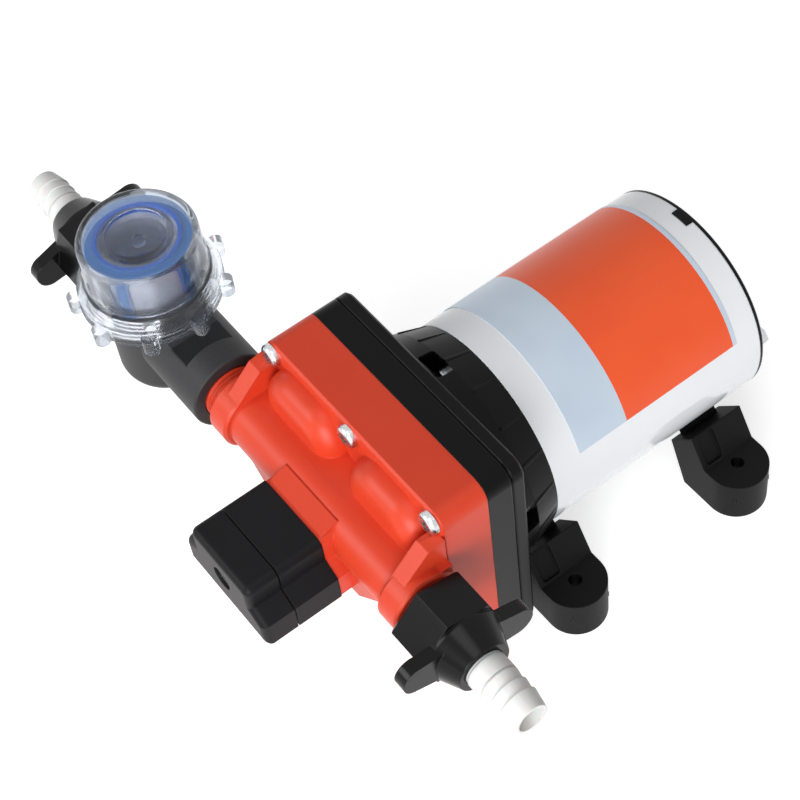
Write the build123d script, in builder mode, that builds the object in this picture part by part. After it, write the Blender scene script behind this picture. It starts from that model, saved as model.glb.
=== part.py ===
from build123d import *
import os
from math import cos, radians, sin, sqrt

# A caravan water pump: a three chamber diaphragm pump on its motor, with pressure
# switch, hose barbs and strainer. Lengths are in millimetres, angles in degrees.
# X runs along the ports with the outlet at +X, Y runs to the motor's rear, Z is up.
# The origin is on the floor, midway between the four foot bolts.

os.makedirs("parts", exist_ok=True)

# Whole layout
axis_z = 52.0  # motor axis above the floor
feet_mid = 82.3  # from the flange's front face to the middle of the feet
foot_pitch_x = 95.0
foot_pitch_y = 71.2
seat_gap = 0.3  # between pieces that move past each other
fit_gap = 0.1  # round screws and pins in their holes
overrun = 1.0  # how far a cut runs past the face that it opens

# Head
head_w = 90.9
head_h = 89.6
head_corner = 6.0
head_edge = 0.9
plate_edge = 0.45  # groove between the two plates
flange_t = 17.15
plate_t = 9.4
drive_flange_t = 4.85
screw_x = 40.6
screw_z = 40.2
screw_r = 2.0
screw_head_r = 4.1
screw_head_t = 2.6
head_round_share = 0.6  # rounding of a screw head, of its height
screw_recess_w = 1.1
screw_recess_l = 4.6
screw_recess_d = 1.3

# Valve domes
dome_w = 36.0
dome_h = 27.0
dome_x = 22.0
dome_z = 27.0
dome_low_z = -22.0
dome_out = 8.0
dome_edge = 7.2
dome_corner = 13.0
dome_wall = 3.0
dome_low_wall = 6.0  # above and below the hollow

# Cross tube and ports
port_out = 11.0  # port axis in front of the flange
port_up = 16.0  # port axis above the motor axis
tube_r = 10.3
collar_r = 12.2
collar_in = 40.5
collar_end = 50.0
stub_r = 9.4
stub_end = 62.5
thread_r = 10.2
thread_pitch = 1.814
thread_foot_share = 1 / 3  # half a ring's foot, of the pitch
thread_crest_share = 1 / 12
port_bore_r = 7.0
outlet_bore_from = 3.4
inlet_bore_from = 18.0
cheek_t = 6.0
cheek_up = 21.0
cheek_low = 7.6
cheek_front = 8.8
gusset_t = 2.4
gusset_out = 3.7

# Switch boss
boss_out = 24.5
boss_w = 30.8
boss_top = 6.6  # above the port axis
boss_low_w = 42.6
boss_step = 3.0  # below the port axis
boss_low = 16.5
boss_step_h = 4.0
boss_corner = 2.6
boss_low_corner = 6.0
saddle_w = 27.4  # raised back of the boss, up over the tube
saddle_rise = 2.5
saddle_behind = 4.7
saddle_edge = 1.2
web_out = 19.0  # sloping web under the tube
web_top_w = 72.0
web_top = 8.0  # below the port axis
web_low_w = 44.0
web_low = 22.0

# Galleries inside the upper housing
outlet_room_r = 13.0
outlet_room_d = 12.0
inlet_ring_in = 24.0
inlet_ring_out = 32.5
inlet_ring_d = 6.0
drill_r = 3.4
outlet_drill_x = 7.0
inlet_drill_x = 23.0
switch_drill_r = 2.5

# Pump chambers and valves
chamber_count = 3
chamber_pitch_r = 20.5
chamber_r = 13.5
chamber_d = 5.0
inlet_valve_at = 28.2
inlet_valve_r = 3.6
inlet_valve_t = 0.9
valve_stem_r = 1.0
valve_stem_lock = 0.3
inlet_hole_r = 0.9
inlet_holes = 4  # round each inlet valve's stem
inlet_hole_at = 2.3
outlet_hole_r = 1.4
outlet_hole_at = 9.2
outlet_valve_r = 11.5
outlet_valve_t = 1.0
outlet_seat_d = 1.4

# Head seal, diaphragm, pistons and wobble plate
seal_w = 2.0
seal_t = 1.6
seal_in_x = 35.0
seal_in_z = 35.4
seal_corner = 5.0
diaphragm_r = 35.5
diaphragm_t = 1.5
crown_r = 7.0
crown_t = 1.5
piston_r = 7.4
piston_t = 3.0
piston_screw_r = 1.5
piston_screw_head_r = 3.2
piston_screw_head_t = 1.2
piston_screw_len = 8.2
wobble_t = 3.0
wobble_hub_r = 14.6
wobble_web_r = 16.0
bearing_out_r = 12.5
bearing_in_r = 6.5
bearing_w = 7.0
bearing_shoulder = 0.8
bearing_race_t = 1.6
bearing_ball_r = 1.35
bearing_balls = 9
cam_gap = 0.4
cam_shoulder_gap = 0.8
cam_flange_r = 9.5
cam_flange_t = 2.6
cam_flat = 4.0

# Drive housing
adapter_len = 17.2
adapter_front_flare = 1.2  # front edge beyond the middle of the cone
adapter_flare = 3.1  # middle of the cone beyond its rear edge
adapter_mid_share = 0.42
cavity_gap = 1.7  # round the wobble plate's arms
adapter_wall_t = 3.0
adapter_hole_r = 12.0
rib_count = 18
rib_t = 1.1
rib_h = 0.7
rib_low_share = 0.25  # height left at the cone's middle, of the rib's
rib_turn = -4.0  # first rib, from the top towards +X
pocket_w = 11.0
pocket_len = 6.0
pocket_floor_in = 3.3  # inside the circle of the bolts
pocket_gap = 1.2
pocket_turns = (-5.0, 82.0, 175.0, 262.0)
adapter_screw_r = 1.75
adapter_screw_head_r = 2.4
adapter_screw_head_t = 2.0
bolt_in = 2.5  # adapter screws and through bolts inside the can's wall

# Motor
can_r = 38.0
can_t = 1.6
can_len = 86.2
cap_rim_t = 1.5
cap_edge = 0.5
cap_spigot_t = 5.0
cap_wall = 3.2
cap_boss_r = 11.5
cap_boss_len = 6.5
key_w = 7.0
key_len = 2.6
key_rise = 0.35
front_plate_t = 3.0
plate_boss_r = 11.0
bushing_r = 8.0
bushing_len = 8.0
shaft_r = 4.0
shaft_gap = 0.05
core_gap = 5.4  # between the core and the magnets
core_len = 42.0
core_from = 17.4  # behind the motor's front face
core_slots = 12
core_slot_w = 3.2
core_slot_d = 9.0
winding_in_r = 8.0
winding_step = 2.5  # end bundles inside the core's edge
winding_len = 8.0
commutator_r = 11.0
commutator_len = 11.5
commutator_gap = 0.6
commutator_slots = 12
commutator_slot_w = 0.6
commutator_slot_d = 0.8
magnet_t = 6.0
magnet_len = 50.0
magnet_span = 124.0
brush_w = 6.0
brush_t = 8.0
brush_len = 11.0
brush_air = 0.3
holder_wall = 1.4
holder_gap = 5.0  # brush holders inside the can's wall
brush_plate_t = 2.0
spring_r = 2.2
spring_bore_r = 1.4
bolt_r = 2.0
bolt_head_r = 3.7
bolt_head_t = 2.6
bolt_turn = 8.0  # above the level through the motor axis
nut_r = 3.55
nut_t = 2.4
grommet_r = 5.0
grommet_flange_r = 6.6
grommet_flange_t = 1.6
grommet_bore_r = 2.6
grommet_share = 0.39  # of the way from the bushing's boss to the spigot

# Label
label_from = 11.0  # behind the can's front edge
label_len = 66.0
label_t = 0.25
label_gap = 0.01
label_span = 140.0

# Pressure switch
boot_len = 16.5
switch_cap_len = 11.6
switch_grow = 0.3  # how far the switch stands out past the boss
switch_seam = 0.35
switch_wall = 2.2
switch_front_edge = 2.6
switch_down = 3.5  # switch axis below the port axis
recess_r = 8.6
recess_d = 1.2
switch_dia_t = 1.2
plunger_foot_r = 7.5
plunger_foot_t = 1.6
plunger_r = 2.2
plunger_len = 8.0
plunger_travel = 0.8
spring_out_r = 4.6
spring_in_r = 3.4
adjuster_r = 4.2
adjuster_len = 7.0
adjuster_hex_r = 1.9
adjuster_hex_d = 2.5
adjuster_sunk = 1.0
seat_t = 1.2
micro_w = 19.8
micro_h = 6.0
micro_d = 10.2
micro_button_r = 1.2
micro_button_len = 1.0
terminal_w = 2.8
terminal_pitch = 9.9
terminal_t = 0.5
terminal_len = 4.2
switch_screw_r = 1.4
switch_screw_head_r = 2.3
switch_screw_head_t = 1.6
switch_screw_x = 16.8
switch_screw_down = 11.2
switch_screw_len = 11.0
tab_w = 26.0
tab_h = 3.0
switch_grommet_r = 3.0
switch_grommet_y = 5.5  # in front of the boss

# Wing nuts and hose barbs; their stations are measured from the nut's inner face
nut_face = 51.5
hex_r = 15.3
hex_len = 15.5
cone_len = 10.2
nut_bore_len = 15.1
cone_end_r = 9.2
wing_tip = 24.2
wing_root_w = 15.0
wing_tip_r = 5.4
wing_t = 4.6
wing_in = 1.5  # how far the wings start inside the hexagon
wing_turn = -13.0
nut_edge = 0.8
washer_t = 1.5
washer_in_r = 7.2
barb_flange_r = 9.9
barb_flange_t = 2.3
barb_neck_r = 6.6
barb_land_r = 6.9
barb_land_from = 26.4
barb_root_r = 6.2
barb_tip_r = 5.7
barb_bore_r = 4.6
barb_land_end = 32.0
barb_groove = 0.7
barb_ridges = 3
barb_ridge_pitch = 4.2
barb_end = 47.4

# Strainer
strainer_x = -98.4
inlet_nut_face = -127.2
socket_r = 14.5
socket_face = -54.5
socket_start = -89.0
socket_edge = 3.2
socket_bore_gap = 0.3
cup_r = 17.4
cup_bottom = -24.5  # from the port axis
cup_floor_t = 3.0
cup_edge = 6.8
cup_in_r = 15.5
pipe_r = 12.0
pipe_in_r = 9.6
pipe_top = 12.0
sleeve_r = 9.4
inlet_tube_r = 12.2
inlet_collar_end = 9.0  # clear of the inlet nut
neck_bottom = 10.0
neck_r = 20.2
neck_top = 19.6
neck_thread_r = 21.1
neck_thread_pitch = 3.2
neck_threads = 2
neck_start_share = 0.75  # first ring above the neck's shoulder, of the pitch
relief_up = 11.4  # flat on the socket tube, under the bowl's knobs
relief_end = -64.3
port_seal_t = 1.5

# Strainer bowl, screen and seal; heights from the port axis
skirt_bottom = 11.7
skirt_top = 19.4
skirt_r = 24.0
skirt_wall_gap = 0.35
shoulder_top = 22.6
bowl_r = 20.9
bowl_top_r = 20.2
bowl_in_r = 18.0
bowl_top = 40.5
bowl_top_t = 2.0
bowl_top_edge = 2.8
dish_r = 10.2
dish_d = 5.0
dish_nub_r = 2.2
dish_nub_h = 1.4
skirt_ridge = 0.45
skirt_ridges = 3
knob_count = 9
knob_r = 2.7
knob_h = 6.2
knob_out = 1.3
knob_turn = 7.0
bowl_seal_t = 1.5
bowl_seal_in_r = 18.3
screen_r = 13.7
screen_t = 0.4
frame_r = 14.9
frame_in_r = 13.3
frame_flange_down = 0.6  # flange below the frame's rim
frame_flange_t = 0.8
frame_low_t = 3.0
frame_top_t = 2.0
frame_ribs = 4
frame_rib_w = 4.4
frame_rib_t = 1.0
frame_turn = 30.0

# Brackets and feet
foot_r = 10.8
foot_h = 17.4
foot_hole_r = 2.3
bracket_t = 2.5
bracket_w = 15.0
bracket_up = 8.4
bracket_half_span = 41.0
bracket_knee_x = 38.0
bracket_end_gap = 3.0
front_saddle_from = 0.5  # behind the can's front edge
boot_slope_x = 43.0
boot_gap = 2.7  # between the boots and the saddle's circle
boot_high_turn = 56.9  # boot's upper corner, from straight down round the motor axis
boot_inner_turn = 37.67
boot_low_x = 33.6
boot_low_z = 0.0
boot_channel_w = 7.0
boot_channel_d = 1.2
rivet_r = 2.0
rivet_head_r = 3.4
rivet_head_t = 1.3
rivet_turn = 18.0

# Radii round the motor axis, worked out from the can's
inner_r = can_r - can_t
adapter_rear_r = can_r - fit_gap
adapter_mid_r = adapter_rear_r + adapter_flare
adapter_front_r = adapter_mid_r + adapter_front_flare
adapter_cavity_r = chamber_pitch_r + piston_r + cavity_gap
bolt_at = inner_r - bolt_in
pocket_floor_r = bolt_at - pocket_floor_in
magnet_in_r = inner_r - magnet_t
core_r = magnet_in_r - core_gap
winding_out_r = core_r - winding_step
holder_out_r = inner_r - holder_gap
grommet_down = cap_boss_r + (inner_r - cap_wall - cap_boss_r) * grommet_share
boot_reach = can_r + bracket_t + boot_gap
boot_high_x = boot_reach * sin(radians(boot_high_turn))
boot_high_z = axis_z - boot_reach * cos(radians(boot_high_turn))
boot_inner_x = boot_reach * sin(radians(boot_inner_turn))
boot_inner_z = axis_z - boot_reach * cos(radians(boot_inner_turn))

# Stations along Y, worked out from the sizes above
flange_y = -feet_mid
plate_y = flange_y + flange_t
drive_y = plate_y + plate_t
adapter_y = drive_y + drive_flange_t
can_y = adapter_y + adapter_len
can_end = can_y + can_len
cap_end = can_end + cap_rim_t
port_y = flange_y - port_out
port_z = axis_z + port_up
boss_y = flange_y - boss_out
boot_end = boss_y - boot_len
switch_end = boot_end - switch_cap_len
switch_z = port_z - switch_down
switch_low_z = port_z - boss_low - switch_grow
piston_y = drive_y + diaphragm_t
wobble_y = piston_y + piston_t
hub_y = wobble_y + wobble_t
bearing_y = hub_y + bearing_shoulder
bearing_end = bearing_y + bearing_w
adapter_back = can_y - adapter_wall_t
core_y = can_y + core_from
core_end = core_y + core_len
commutator_y = core_end + winding_len + commutator_gap
rear_boss_y = can_end - cap_boss_len
brush_plate_y = can_end - cap_spigot_t - brush_plate_t


def front_of(y, x=0.0, z=axis_z):
    """A plane that faces -Y, with X to its right and Z up; negative depths go to +Y."""
    return Plane(origin=(x, y, z), x_dir=(1, 0, 0), z_dir=(0, -1, 0))


def port_at(x, way=1):
    """A plane across the port axis that faces +X or -X, with Z up."""
    return Plane(origin=(x, port_y, port_z), x_dir=(0, way, 0), z_dir=(way, 0, 0))


def level(z, x=0.0, y=0.0):
    """A level plane at height z."""
    return Plane(origin=(x, y, z), x_dir=(1, 0, 0), z_dir=(0, 0, 1))


def turned(r, turn):
    """The point at radius r, turned from the top towards +X, on a front_of plane."""
    return (r * sin(radians(turn)), r * cos(radians(turn)))


def thread_ring(middle, pitch, root_r, crest_r):
    """The section of one thread ring, as points along the axis and out from it."""
    foot = pitch * thread_foot_share
    crest = pitch * thread_crest_share
    return [
        (middle - foot, root_r - head_edge),
        (middle - foot, root_r),
        (middle - crest, crest_r),
        (middle + crest, crest_r),
        (middle + foot, root_r),
        (middle + foot, root_r - head_edge),
    ]


def head_outline(grow=0.0):
    """The rounded square of the head, inside a sketch."""
    RectangleRounded(head_w + 2 * grow, head_h + 2 * grow, head_corner + grow)


def switch_outline(grow=0.0):
    """Narrow upper and wide lower part of the switch's cross section, inside a sketch."""
    top = boss_top + switch_down + grow
    step = switch_down - boss_step
    low = switch_down - boss_low - grow
    Polygon(
        (-boss_w / 2 - grow, top),
        (boss_w / 2 + grow, top),
        (boss_w / 2 + grow, step + grow),
        (boss_low_w / 2 + grow, step - boss_step_h + grow),
        (boss_low_w / 2 + grow, low),
        (-boss_low_w / 2 - grow, low),
        (-boss_low_w / 2 - grow, step - boss_step_h + grow),
        (-boss_w / 2 - grow, step + grow),
    )


def round_switch_corners(face_sketch, grow=0.0):
    """Rounds the corners of a switch outline, the two foot corners with the larger radius."""
    corners = face_sketch.vertices().group_by(Axis.Y)
    fillet(corners[-1], boss_corner + grow)
    fillet(corners[0], boss_low_corner + grow)


chamber_places = [
    (chamber_pitch_r * cos(radians(30 + i * 360 / chamber_count)),
     chamber_pitch_r * sin(radians(30 + i * 360 / chamber_count)))
    for i in range(chamber_count)
]
inlet_valve_places = [
    (x * inlet_valve_at / chamber_pitch_r, z * inlet_valve_at / chamber_pitch_r)
    for x, z in chamber_places
]
outlet_hole_places = [
    (x * outlet_hole_at / chamber_pitch_r, z * outlet_hole_at / chamber_pitch_r)
    for x, z in chamber_places
]
screw_places = [(i * screw_x, j * screw_z) for i in (-1, 0, 1) for j in (-1, 1)]
dome_places = [(-dome_x, dome_z), (dome_x, dome_z), (0.0, dome_low_z)]

# Water spaces of the upper housing: port bores, rooms, dome hollows and drillings
with BuildPart() as housing_rooms:
    for start, way in ((outlet_bore_from, 1), (-inlet_bore_from, -1)):
        with BuildSketch(port_at(start, way)):
            Circle(port_bore_r)
        extrude(amount=stub_end)
    with BuildSketch(front_of(plate_y + overrun)):
        Circle(outlet_room_r)
    extrude(amount=outlet_room_d + overrun)
    with BuildSketch(front_of(plate_y + overrun)):
        Circle(inlet_ring_out)
        Circle(inlet_ring_in, mode=Mode.SUBTRACT)
    extrude(amount=inlet_ring_d + overrun)
    with BuildSketch(front_of(plate_y + overrun)):
        for x, z in dome_places:
            with Locations((x, z)):
                RectangleRounded(dome_w - 2 * dome_wall, dome_h - 2 * dome_low_wall, dome_wall)
    extrude(amount=flange_t - dome_wall / 2 + overrun)
    # drillings from the rooms to the port bores and to the switch
    with BuildSketch(front_of(plate_y - outlet_room_d + overrun)):
        with Locations((outlet_drill_x, port_up - port_bore_r + drill_r / 2)):
            Circle(drill_r)
    extrude(amount=flange_t - outlet_room_d + overrun + port_out)
    with BuildSketch(front_of(plate_y - inlet_ring_d + overrun)):
        with Locations((-inlet_drill_x, port_up)):
            Circle(drill_r)
    extrude(amount=flange_t - inlet_ring_d + port_out)
    with BuildSketch(front_of(plate_y - outlet_room_d + overrun, z=switch_z)):
        Circle(switch_drill_r)
    extrude(amount=flange_t + boss_out)
    with BuildSketch(front_of(boss_y - overrun, z=switch_z)):
        Circle(recess_r)
    extrude(amount=-(recess_d + overrun))

# Upper housing: the square flange with its domes, cross tube, cheeks and switch boss
with BuildPart() as upper_housing:
    with BuildSketch(front_of(flange_y)):
        head_outline()
    extrude(amount=-flange_t)
    chamfer(upper_housing.faces().sort_by(Axis.Y)[0].edges(), head_edge)
    for x, z in dome_places:
        with BuildSketch(front_of(flange_y + head_edge)):
            with Locations((x, z)):
                RectangleRounded(dome_w, dome_h, dome_corner)
        extrude(amount=dome_out + head_edge)
        dome_face = upper_housing.faces().filter_by(Axis.Y).sort_by(Axis.Y)[0]
        fillet(dome_face.edges(), dome_edge)
    # cross tube with its web back to the flange
    with BuildSketch(port_at(-collar_end)):
        Circle(tube_r)
        with Locations((port_out / 2, 0)):
            Rectangle(port_out, 2 * tube_r)
    extrude(amount=2 * collar_end - overrun)
    # cheeks beside the flange, sloping down to the collars
    for way in (-1, 1):
        with BuildSketch(port_at(way * (collar_in + cheek_t), -way)):
            Polygon(
                (-way * port_out, -cheek_low),
                (-way * port_out, cheek_up),
                (-way * (port_out - collar_r / 2), cheek_up - head_edge),
                (way * cheek_front, cheek_low),
                (0, -cheek_low),
            )
        extrude(amount=cheek_t)
    # collars and threaded stubs, with the thread as rings
    with BuildSketch(Plane(origin=(0, port_y, port_z), x_dir=(1, 0, 0), z_dir=(0, -1, 0))):
        for way in (-1, 1):
            Polygon(
                (way * collar_in, 0),
                (way * collar_in, collar_r - head_edge),
                (way * (collar_in + head_edge), collar_r),
                (way * (collar_end - head_edge), collar_r),
                (way * collar_end, collar_r - head_edge),
                (way * collar_end, stub_r),
                (way * stub_end, stub_r),
                (way * stub_end, 0),
            )
            rings = int((stub_end - nut_face) / thread_pitch)
            for k in range(rings):
                start = nut_face + (k + 0.5) * thread_pitch
                ring = thread_ring(start, thread_pitch, stub_r, thread_r)
                Polygon(*[(way * along, r) for along, r in ring])
    revolve(axis=Axis((0, port_y, port_z), (1, 0, 0)), revolution_arc=360)
    # seats for the screw heads
    with BuildSketch(front_of(flange_y)):
        with Locations(*screw_places):
            Circle(screw_head_r + fit_gap)
    extrude(amount=screw_head_t + port_out, mode=Mode.SUBTRACT)
    # boss that carries the pressure switch
    with BuildSketch(front_of(boss_y, z=switch_z)) as boss_face:
        switch_outline()
        round_switch_corners(boss_face)
    extrude(amount=-(boss_out - port_out))
    # its top rises towards the crest of the tube
    saddle_plane = Plane(
        origin=(-saddle_w / 2, boss_y, port_z + boss_top),
        x_dir=(0, 1, 0),
        z_dir=(1, 0, 0),
    )
    with BuildSketch(saddle_plane):
        Polygon(
            (saddle_edge, 0),
            (boss_out - port_out - saddle_behind - saddle_edge, saddle_rise),
            (boss_out - port_out - saddle_behind, saddle_rise - saddle_edge / 2),
            (boss_out - port_out, 0),
        )
    extrude(amount=saddle_w)
    with BuildSketch(front_of(flange_y - web_out, z=port_z)):
        Polygon(
            (-web_top_w / 2, -web_top),
            (web_top_w / 2, -web_top),
            (web_low_w / 2, -web_low),
            (-web_low_w / 2, -web_low),
        )
    extrude(amount=-(web_out + overrun))
    # gusset under the middle screw
    with BuildSketch(Plane(origin=(-gusset_t / 2, flange_y, port_z), x_dir=(0, -1, 0), z_dir=(1, 0, 0))):
        Polygon(
            (-overrun, tube_r - overrun),
            (gusset_out, tube_r - overrun),
            (gusset_out, tube_r + head_edge),
            (0, screw_z - port_up - screw_head_r),
            (-overrun, screw_z - port_up - screw_head_r),
        )
    extrude(amount=gusset_t)
    add(housing_rooms.part, mode=Mode.SUBTRACT)
    # screw holes through the head and for the switch
    with BuildSketch(front_of(plate_y + overrun)):
        with Locations(*screw_places):
            Circle(screw_r + fit_gap)
    extrude(amount=flange_t + 2 * overrun, mode=Mode.SUBTRACT)
    with BuildSketch(front_of(boss_y - overrun, z=port_z)):
        with Locations((-switch_screw_x, -switch_screw_down), (switch_screw_x, -switch_screw_down)):
            Circle(switch_screw_r + fit_gap)
    extrude(amount=-(switch_screw_len + overrun), mode=Mode.SUBTRACT)
upper_housing.part.label = "upper_housing"
export_step(upper_housing.part, "parts/upper_housing.step")

# Valve housing: the first black plate, with pump chambers behind and valve seats
with BuildPart() as valve_housing:
    with BuildSketch(front_of(plate_y)):
        head_outline()
    extrude(amount=-plate_t)
    chamfer(valve_housing.faces().sort_by(Axis.Y)[-1].edges(), plate_edge)
    with BuildSketch(front_of(plate_y - overrun)):
        RectangleRounded(2 * (seal_in_x + seal_w), 2 * (seal_in_z + seal_w), seal_corner + seal_w)
        RectangleRounded(2 * seal_in_x, 2 * seal_in_z, seal_corner, mode=Mode.SUBTRACT)
    extrude(amount=-(seal_t + overrun), mode=Mode.SUBTRACT)
    with BuildSketch(front_of(drive_y - chamber_d)):
        with Locations(*chamber_places):
            Circle(chamber_r)
    extrude(amount=-(chamber_d + overrun), mode=Mode.SUBTRACT)
    with BuildSketch(front_of(plate_y - overrun)):
        Circle(outlet_valve_r + seat_gap)
    extrude(amount=-(outlet_seat_d + overrun), mode=Mode.SUBTRACT)
    with BuildSketch(front_of(plate_y - overrun)):
        Circle(valve_stem_r + fit_gap)
        with Locations(*outlet_hole_places):
            Circle(outlet_hole_r)
        with Locations(*inlet_valve_places):
            Circle(valve_stem_r + fit_gap)
        for x, z in inlet_valve_places:
            with Locations((x, z)):
                with PolarLocations(inlet_hole_at, inlet_holes, start_angle=45):
                    Circle(inlet_hole_r)
        with Locations(*screw_places):
            Circle(screw_r + fit_gap)
    extrude(amount=-(plate_t + 2 * overrun), mode=Mode.SUBTRACT)
valve_housing.part.label = "valve_housing"
export_step(valve_housing.part, "parts/valve_housing.step")

# Head seal: a rounded square ring in the valve housing's groove
with BuildPart() as head_seal:
    with BuildSketch(front_of(plate_y)):
        RectangleRounded(
            2 * (seal_in_x + seal_w - fit_gap),
            2 * (seal_in_z + seal_w - fit_gap),
            seal_corner + seal_w - fit_gap,
        )
        RectangleRounded(
            2 * (seal_in_x + fit_gap),
            2 * (seal_in_z + fit_gap),
            seal_corner + fit_gap,
            mode=Mode.SUBTRACT,
        )
    extrude(amount=-seal_t)
head_seal.part.label = "head_seal"
export_step(head_seal.part, "parts/head_seal.step")

# Inlet valves: three umbrellas, each with its stem through the valve housing
with BuildPart() as inlet_valves:
    with BuildSketch(front_of(drive_y - chamber_d)):
        with Locations(*inlet_valve_places):
            Circle(inlet_valve_r)
    extrude(amount=-inlet_valve_t)
    with BuildSketch(front_of(drive_y - chamber_d + inlet_valve_t)):
        with Locations(*inlet_valve_places):
            Circle(valve_stem_r)
    extrude(amount=inlet_valve_t + plate_t - chamber_d + overrun)
    with BuildSketch(front_of(plate_y)):
        with Locations(*inlet_valve_places):
            Circle(valve_stem_r + valve_stem_lock)
    extrude(amount=overrun)
inlet_valves.part.label = "inlet_valves"
export_step(inlet_valves.part, "parts/inlet_valves.step")

# Outlet valve: one disc over the three outlet holes
with BuildPart() as outlet_valve:
    with BuildSketch(front_of(plate_y + outlet_seat_d)):
        Circle(outlet_valve_r)
    extrude(amount=outlet_valve_t)
    with BuildSketch(front_of(plate_y + outlet_seat_d)):
        Circle(valve_stem_r)
    extrude(amount=-(plate_t - outlet_seat_d))
outlet_valve.part.label = "outlet_valve"
export_step(outlet_valve.part, "parts/outlet_valve.step")

# Diaphragm: a rubber disc with a crown over each piston
with BuildPart() as diaphragm:
    with BuildSketch(front_of(drive_y)):
        Circle(diaphragm_r)
    extrude(amount=-diaphragm_t)
    with BuildSketch(front_of(drive_y)):
        with Locations(*chamber_places):
            Circle(crown_r)
    extrude(amount=crown_t)
    with BuildSketch(front_of(drive_y - crown_t - overrun)):
        with Locations(*chamber_places):
            Circle(piston_screw_r + fit_gap)
    extrude(amount=-(crown_t + diaphragm_t + 2 * overrun), mode=Mode.SUBTRACT)
diaphragm.part.label = "diaphragm"
export_step(diaphragm.part, "parts/diaphragm.step")

# Pistons: three discs behind the diaphragm
with BuildPart() as pistons:
    with BuildSketch(front_of(piston_y)):
        with Locations(*chamber_places):
            Circle(piston_r)
            Circle(piston_screw_r + fit_gap, mode=Mode.SUBTRACT)
    extrude(amount=-piston_t)
pistons.part.label = "pistons"
export_step(pistons.part, "parts/pistons.step")

# Piston screws: they clamp the diaphragm's crowns to the pistons and the wobble plate
with BuildPart() as piston_screws:
    with BuildSketch(front_of(drive_y - crown_t)):
        with Locations(*chamber_places):
            Circle(piston_screw_head_r)
    extrude(amount=piston_screw_head_t)
    with BuildSketch(front_of(drive_y - crown_t)):
        with Locations(*chamber_places):
            Circle(piston_screw_r)
    extrude(amount=-piston_screw_len)
piston_screws.part.label = "piston_screws"
export_step(piston_screws.part, "parts/piston_screws.step")

# Wobble plate: three arms for the pistons and a hub round the cam's bearing
with BuildPart() as wobble_plate:
    with BuildSketch(front_of(wobble_y)):
        Circle(wobble_web_r)
        with Locations(*chamber_places):
            Circle(piston_r)
        for x, z in chamber_places:
            nx = -z / chamber_pitch_r * piston_r
            nz = x / chamber_pitch_r * piston_r
            Polygon((nx, nz), (x + nx, z + nz), (x - nx, z - nz), (-nx, -nz))
    extrude(amount=-wobble_t)
    with BuildSketch(front_of(hub_y)):
        Circle(wobble_hub_r)
    extrude(amount=-(bearing_shoulder + bearing_w))
    with BuildSketch(front_of(bearing_y)):
        Circle(bearing_out_r)
    extrude(amount=-(bearing_w + overrun), mode=Mode.SUBTRACT)
    with BuildSketch(front_of(wobble_y - overrun)):
        Circle(bearing_in_r + 2 * bearing_race_t)
    extrude(amount=-(wobble_t + bearing_shoulder + 2 * overrun), mode=Mode.SUBTRACT)
    with BuildSketch(front_of(wobble_y - overrun)):
        with Locations(*chamber_places):
            Circle(piston_screw_r + fit_gap)
    extrude(amount=-(wobble_t + 2 * overrun), mode=Mode.SUBTRACT)
wobble_plate.part.label = "wobble_plate"
export_step(wobble_plate.part, "parts/wobble_plate.step")

# Cam bearing: two races and a ring of balls
bearing_mid_r = (bearing_in_r + bearing_out_r) / 2
with BuildPart() as cam_bearing:
    with BuildSketch(front_of(bearing_y)):
        Circle(bearing_out_r)
        Circle(bearing_out_r - bearing_race_t, mode=Mode.SUBTRACT)
        Circle(bearing_in_r + bearing_race_t)
        Circle(bearing_in_r, mode=Mode.SUBTRACT)
    extrude(amount=-bearing_w)
    for i in range(bearing_balls):
        turn = i * 360 / bearing_balls
        x, z = turned(bearing_mid_r, turn)
        with Locations((x, bearing_y + bearing_w / 2, axis_z + z)):
            Sphere(bearing_ball_r)
cam_bearing.part.label = "cam_bearing"
export_step(cam_bearing.part, "parts/cam_bearing.step")

# Cam: the journal in the bearing, with a counterweight flange behind it
cam_end = bearing_end + cam_shoulder_gap + cam_flange_t
with BuildPart() as cam:
    with BuildSketch(front_of(bearing_y)):
        Circle(bearing_in_r - cam_gap)
    extrude(amount=-(cam_end - bearing_y))
    with BuildSketch(front_of(bearing_end + cam_shoulder_gap)):
        Circle(cam_flange_r)
        with Locations((0, cam_flange_r + cam_flat)):
            Rectangle(2 * cam_flange_r, 2 * cam_flange_r, mode=Mode.SUBTRACT)
    extrude(amount=-cam_flange_t)
    with BuildSketch(front_of(bearing_y - overrun)):
        Circle(shaft_r)
    extrude(amount=-(cam_end - bearing_y + 2 * overrun), mode=Mode.SUBTRACT)
cam.part.label = "cam"
export_step(cam.part, "parts/cam.step")

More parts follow.
